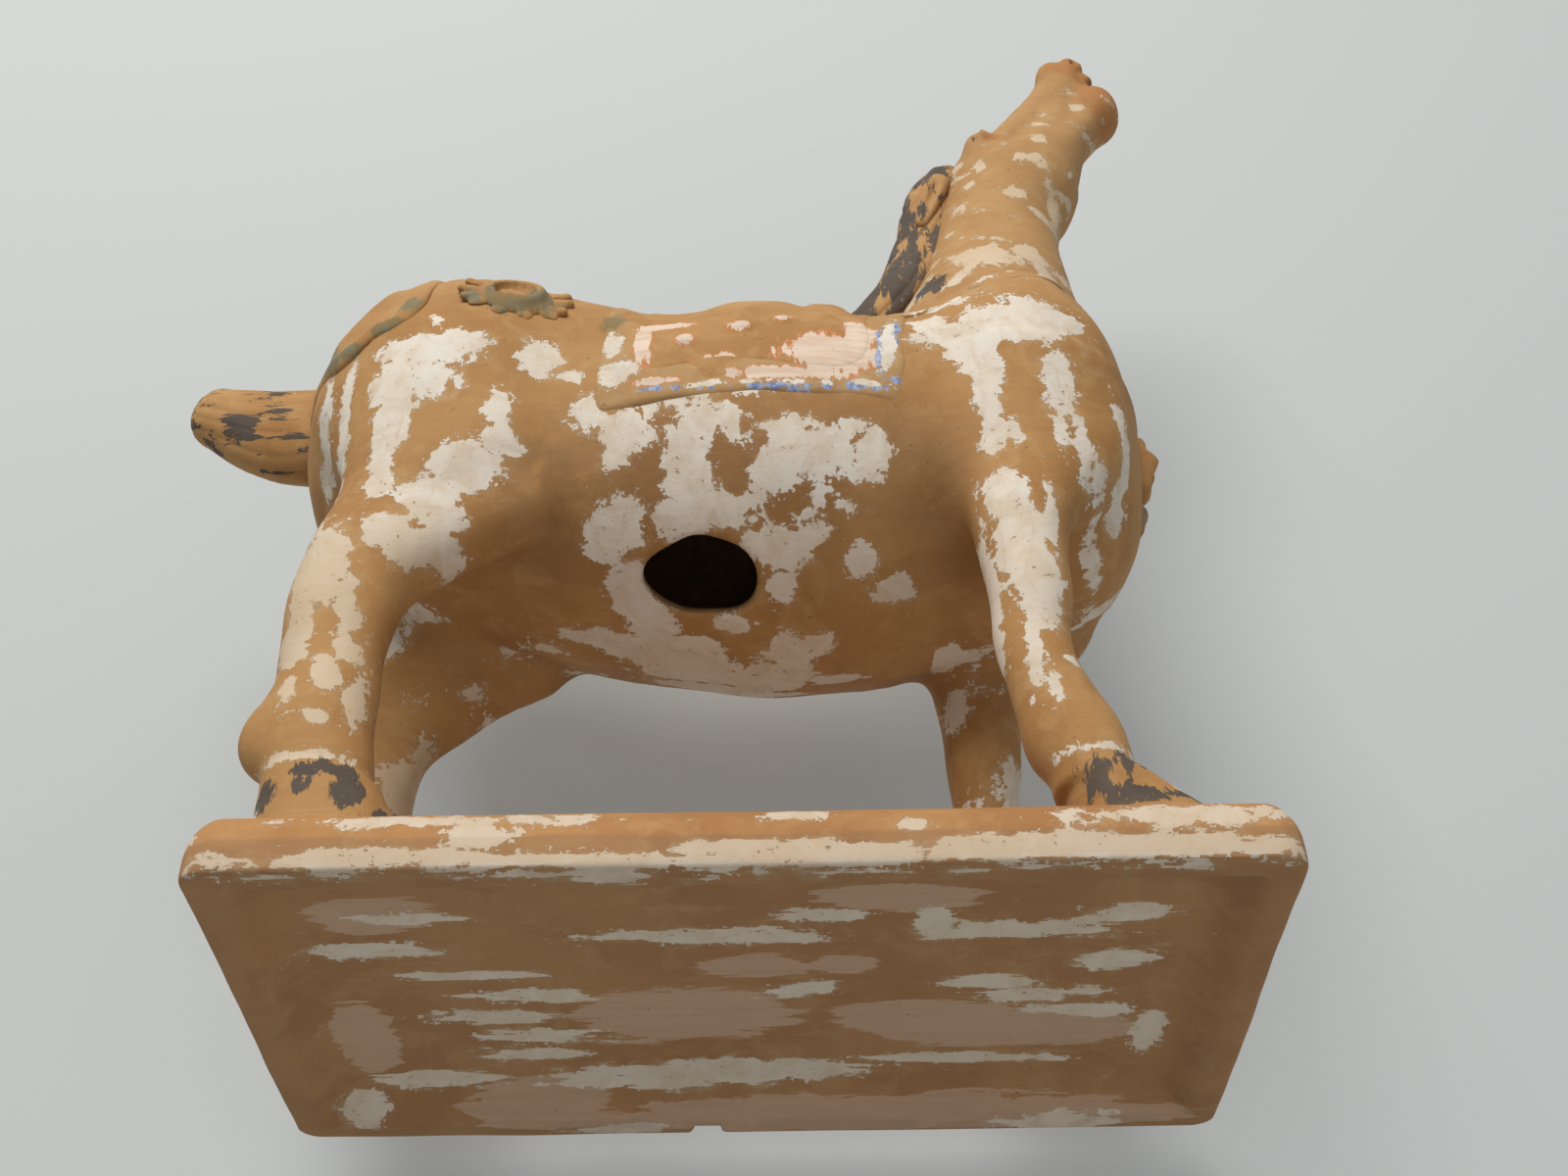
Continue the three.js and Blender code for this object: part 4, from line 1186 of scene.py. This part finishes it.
def saddle_paint(g, colour):
    """Worn green, orange, pink and blue. Returns the colour and where the pink is."""

    def worn(mask, spread, low, high):
        return g.step((g.scratch - 0.5) * spread + mask, low, high)

    green = g.mix(g.step(g.mottle, 0.42, 0.6), (0.15, 0.13, 0.055), (0.10, 0.16, 0.125))
    pink = g.mix(g.step(g.brushed, 0.38, 0.62), (0.74, 0.58, 0.45), (0.64, 0.47, 0.34))
    blue = g.mix(g.step(g.chip, 0.4, 0.6), (0.10, 0.20, 0.46), (0.34, 0.45, 0.64))
    pink_on = worn(g.pink, 1.9, 0.51, 0.53)
    colour = g.mix(worn(g.green, 2.0, 0.52, 0.80) * 0.66, colour, green)
    colour = g.mix(worn(g.pink, 1.9, 0.42, 0.48) * 0.8, colour, (0.62, 0.20, 0.065))
    colour = g.mix(pink_on, colour, pink)
    return g.mix(worn(g.blue, 2.2, 0.60, 0.68) * 0.8, colour, blue), pink_on


def slip_layer(g, level):
    """Where slip holds: flaking islands, with chips knocked out and specks left behind."""
    body = g.step(level, 0.50, 0.518)
    specks = g.step((g.chip - 0.5) * 2.2 + level, 0.62, 0.65) * g.step(g.slip, 0.05, 0.30)
    holes = 1.0 - g.step(g.chip, 0.64, 0.67) * g.step(g.mottle, 0.50, 0.58)
    return g.math("MAXIMUM", body, specks) * holes


def slip_colour(g):
    milk = g.mix(g.step(g.mottle, 0.40, 0.62), (0.74, 0.655, 0.545), (0.66, 0.55, 0.42))
    milk = g.mix(g.step(g.noise(55, 5, 0.6), 0.52, 0.66) * 0.6, milk, (0.77, 0.72, 0.645))
    milk = g.mix(g.step(g.scratch, 0.58, 0.70) * 0.35, milk, (0.50, 0.34, 0.20))
    # slip darker on the plinth's foot as painted shade, and a little duller on the legs
    milk = g.mix(g.streak_and_foot_shade * 0.45, milk, (0.57, 0.435, 0.29))
    return g.mix(g.thin * 0.62, milk, (0.62, 0.46, 0.275))


def black_strokes(g):
    stroke = g.mix(g.streak_and_foot_shade, g.scratch, g.streaky) - 0.5
    worn = g.step(stroke * 3.2 + g.black, 0.50, 0.58) * g.step(g.chip, 0.29, 0.35)
    return worn * g.step(g.black, 0.03, 0.15)


def add_relief(g, slip_on, painted):
    """Thickness of slip and paint, and the clay's own tooth."""
    height = slip_on * 0.55 + painted * 0.18 + g.mottle * 0.5
    height = height + g.grain * 0.22 + g.brushed * 0.14 - g.pits * 0.5
    bump = g.node("ShaderNodeBump", {"Height": height, "Distance": 0.0006, "Strength": 0.75})
    g.feed(g.shader.inputs["Normal"], Wire(g, bump.outputs[0]))


def pottery(name, tones, plinth=False):
    """Low-fired clay under flaking slip and worn paint."""
    g = Graph(name)
    add_textures(g)
    colour = bare_clay(g, *tones, plinth)

    # a thin wash of slip stains the clay near the thick slip
    wander = g.mix(g.streak_and_foot_shade, g.edge, g.streaky) - 0.5
    level = wander * 1.5 + g.slip + (g.noise(75, 3, 0.6, warp=0.5) - 0.5) * 1.1
    wash = g.step(g.mottle * 0.5 + level, 0.55, 0.95) * 0.34
    colour = g.mix(wash, colour, (0.60, 0.44, 0.28))
    colour, pink_on = saddle_paint(g, colour)
    slip_on = slip_layer(g, level)
    colour = g.mix(slip_on * (g.thin * -0.22 + 0.94), colour, slip_colour(g))
    black_on = black_strokes(g)
    soot = g.mix(g.mottle, (0.030, 0.030, 0.032), (0.085, 0.08, 0.075))
    colour = g.mix(black_on * 0.9, colour, soot)

    # painted shade in the hollows and inside the hollow body, with some grime
    hollow_shade_and_grime = g.shade_and_grime * g.step(g.mottle, 0.3, 0.6) * 0.6
    g.feed(g.shader.inputs["Base Color"], g.mix(hollow_shade_and_grime, colour, (0.20, 0.105, 0.045)))
    g.feed(g.shader.inputs["Roughness"], slip_on * 0.06 + (g.grain * 0.25 + 0.66))
    g.shader.inputs["Specular IOR Level"].default_value = 0.28
    add_relief(g, slip_on, g.math("MAXIMUM", black_on, pink_on))
    return g.material


def stage_material():
    """Pale and matt with a faint glow of its own, painted light that lifts the shadows on it, and clear from
    behind, so that it never stands before the camera.
    """
    g = Graph("pale_stage")
    looks = {"Base Color": (0.43, 0.445, 0.43), "Roughness": 0.9}
    # a faint glow: painted light that lightens the horse's shadow on the sheet
    looks.update({"Emission Color": (0.9, 0.93, 0.95), "Emission Strength": 0.12})
    for key, value in looks.items():
        g.feed(g.shader.inputs[key], value)
    behind = Wire(g, g.node("ShaderNodeNewGeometry").outputs["Backfacing"])
    clear = Wire(g, g.node("ShaderNodeBsdfTransparent").outputs[0])
    choose = g.node("ShaderNodeMixShader", {0: behind, 1: Wire(g, g.shader.outputs[0]), 2: clear})
    g.feed(g.tree.nodes["Material Output"].inputs[0], Wire(g, choose.outputs[0]))
    return g.material


def set_stage():
    """A pale sheet that the horse lies on, with a pale floor under its plinth for upright views."""
    pale = stage_material()
    half = 3.0
    foot, top = 0.082, 0.12  # how far behind the horse's middle plane the sheet is, low and high
    sheets = {
        "stage_sheet": [(-half, foot, -half), (half, foot, -half), (half, top, half), (-half, top, half)],
        "stage_floor": [(-half, -half, 0), (half, -half, 0), (half, half, 0), (-half, half, 0)],
    }
    for name, corners in sheets.items():
        mesh = bpy.data.meshes.new(name)
        mesh.from_pydata(corners, [], [(0, 1, 2, 3)])
        sheet = bpy.data.objects.new(name, mesh)
        sheet.data.materials.append(pale)
        sheet.visible_shadow = False
        if name == "stage_floor":
            sheet.visible_diffuse = sheet.visible_glossy = sheet.visible_transmission = False
        bpy.context.scene.collection.objects.link(sheet)


def add_light(name, place, target, size, power, colour=(1, 1, 1)):
    data = bpy.data.lights.new(name, "AREA")
    data.energy, data.size, data.color = power, size, colour
    lamp = bpy.data.objects.new(name, data)
    lamp.location = place
    lamp.rotation_euler = (Vector(target) - Vector(place)).to_track_quat("-Z", "Y").to_euler()
    bpy.context.scene.collection.objects.link(lamp)


def set_lights():
    middle = tuple((Vector(cad_box[0]) + Vector(cad_box[1])) / 2)
    add_light("key", (-0.35, -1.35, 1.15), middle, 1.1, 30, (1, 0.985, 0.96))
    add_light("fill", (0.5, -0.9, -0.9), middle, 1.6, 4.2, (0.97, 0.98, 1))
    add_light("back", (-0.4, 1.5, 0.9), middle, 1.6, 6)
    world = bpy.data.worlds.new("studio")
    world.use_nodes = True
    world.node_tree.nodes["Background"].inputs[0].default_value = (0.89, 0.95, 1.0, 1)
    world.node_tree.nodes["Background"].inputs[1].default_value = 0.29
    bpy.context.scene.world = world
    bpy.context.scene.view_settings.view_transform = "Standard"


CAMERA_PLACE = (11.2, -464.5, -236.2)  # millimetres from the plinth's foot
CAMERA_FORWARD = (-0.0015, 0.7747, 0.6323)
CAMERA_UP = (0.0144, -0.6322, 0.7746)
CAMERA_LENS = 45


def set_camera():
    """Looks up at the belly and the plinth's underside, as when the horse lies on its left side."""
    data = bpy.data.cameras.new("camera")
    data.lens, data.sensor_width, data.sensor_fit = CAMERA_LENS, 36, "HORIZONTAL"
    data.clip_start, data.clip_end = 0.01, 20
    camera = bpy.data.objects.new("camera", data)
    place = ORIGIN + np.array(CAMERA_PLACE) * MM
    forward = Vector(CAMERA_FORWARD).normalized()
    up = Vector(CAMERA_UP).normalized()
    right = forward.cross(up).normalized()
    up = right.cross(forward)
    turn = np.array([right, up, -forward]).T
    camera.matrix_world = Matrix([[*turn[i], place[i]] for i in range(3)] + [[0, 0, 0, 1]])
    bpy.context.scene.collection.objects.link(camera)
    bpy.context.scene.camera = camera


# The CAD node that each piece stands for
REPLACED = {
    "plinth_body": "plinth",
    "saddle_cloth_layer": "saddle_cloth",
    "saddle_cover_layer": "saddle_cover",
    "saddle_seat": "saddle",
    "crupper_layer": "crupper_pad",
    "breast_strap_band": "breast_strap",
    "plaque_relief": "chest_plaque",
    "bell_round": "chest_bell",
    "mane_crest": "mane",
    "tail_stub": "tail",
    "jaw_piece": "lower_jaw",
}
for side_name in ("right", "left"):
    for part in ("trunk", "neck", "head"):
        REPLACED[f"{part}_shell_{side_name}"] = f"{part}_{side_name}_half"
    for part in ("leaves", "cup"):
        REPLACED[f"rosette_{part}_{side_name}_relief"] = f"rosette_{part}_{side_name}"
    REPLACED[f"hind_leg_{side_name}"] = f"hind_{side_name}_leg"
    REPLACED[f"fore_leg_{side_name}"] = f"front_{side_name}_leg"
    REPLACED[f"ear_{side_name}"] = f"{side_name}_ear"


# Paint slot of the pieces that aren't plain clay
SLOTS = {"plinth": "slip", "mane": "black_paint", "tail": "black_paint", "saddle_cloth": "saddle_paint"}
for word in ("crupper", "rosette", "breast", "bell"):
    SLOTS[word] = "green_paint"


# Clay in its lighter, deeper and brighter tones
CLAY = (0.45, 0.238, 0.085), (0.385, 0.188, 0.06), (0.51, 0.30, 0.12)
PLINTH_CLAY = (0.47, 0.232, 0.082), (0.39, 0.178, 0.06), (0.52, 0.285, 0.115)
SADDLE_CLAY = (0.46, 0.27, 0.115), (0.42, 0.235, 0.09), (0.52, 0.33, 0.15)


def main():
    materials = {
        "clay": pottery("painted_clay", CLAY),
        "slip": pottery("slipped_clay", PLINTH_CLAY, plinth=True),
        "black_paint": pottery("blacked_clay", CLAY),
        "green_paint": pottery("greened_clay", CLAY),
        "saddle_paint": pottery("saddle_clay", SADDLE_CLAY),
    }
    made, outer = add_pieces()
    for piece in made:
        slot = next((slot for word, slot in SLOTS.items() if piece.name.startswith(word)), "clay")
        paint(piece, outer)
        piece.data.materials.clear()
        piece.data.materials.append(materials[slot])
        piece.data.shade_smooth()
        piece.data.set_sharp_from_angle(angle=math.radians(SHARP_ANGLE))
        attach(piece, "root")
        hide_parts(REPLACED[piece.name])
    set_stage()
    set_lights()
    set_camera()


main()
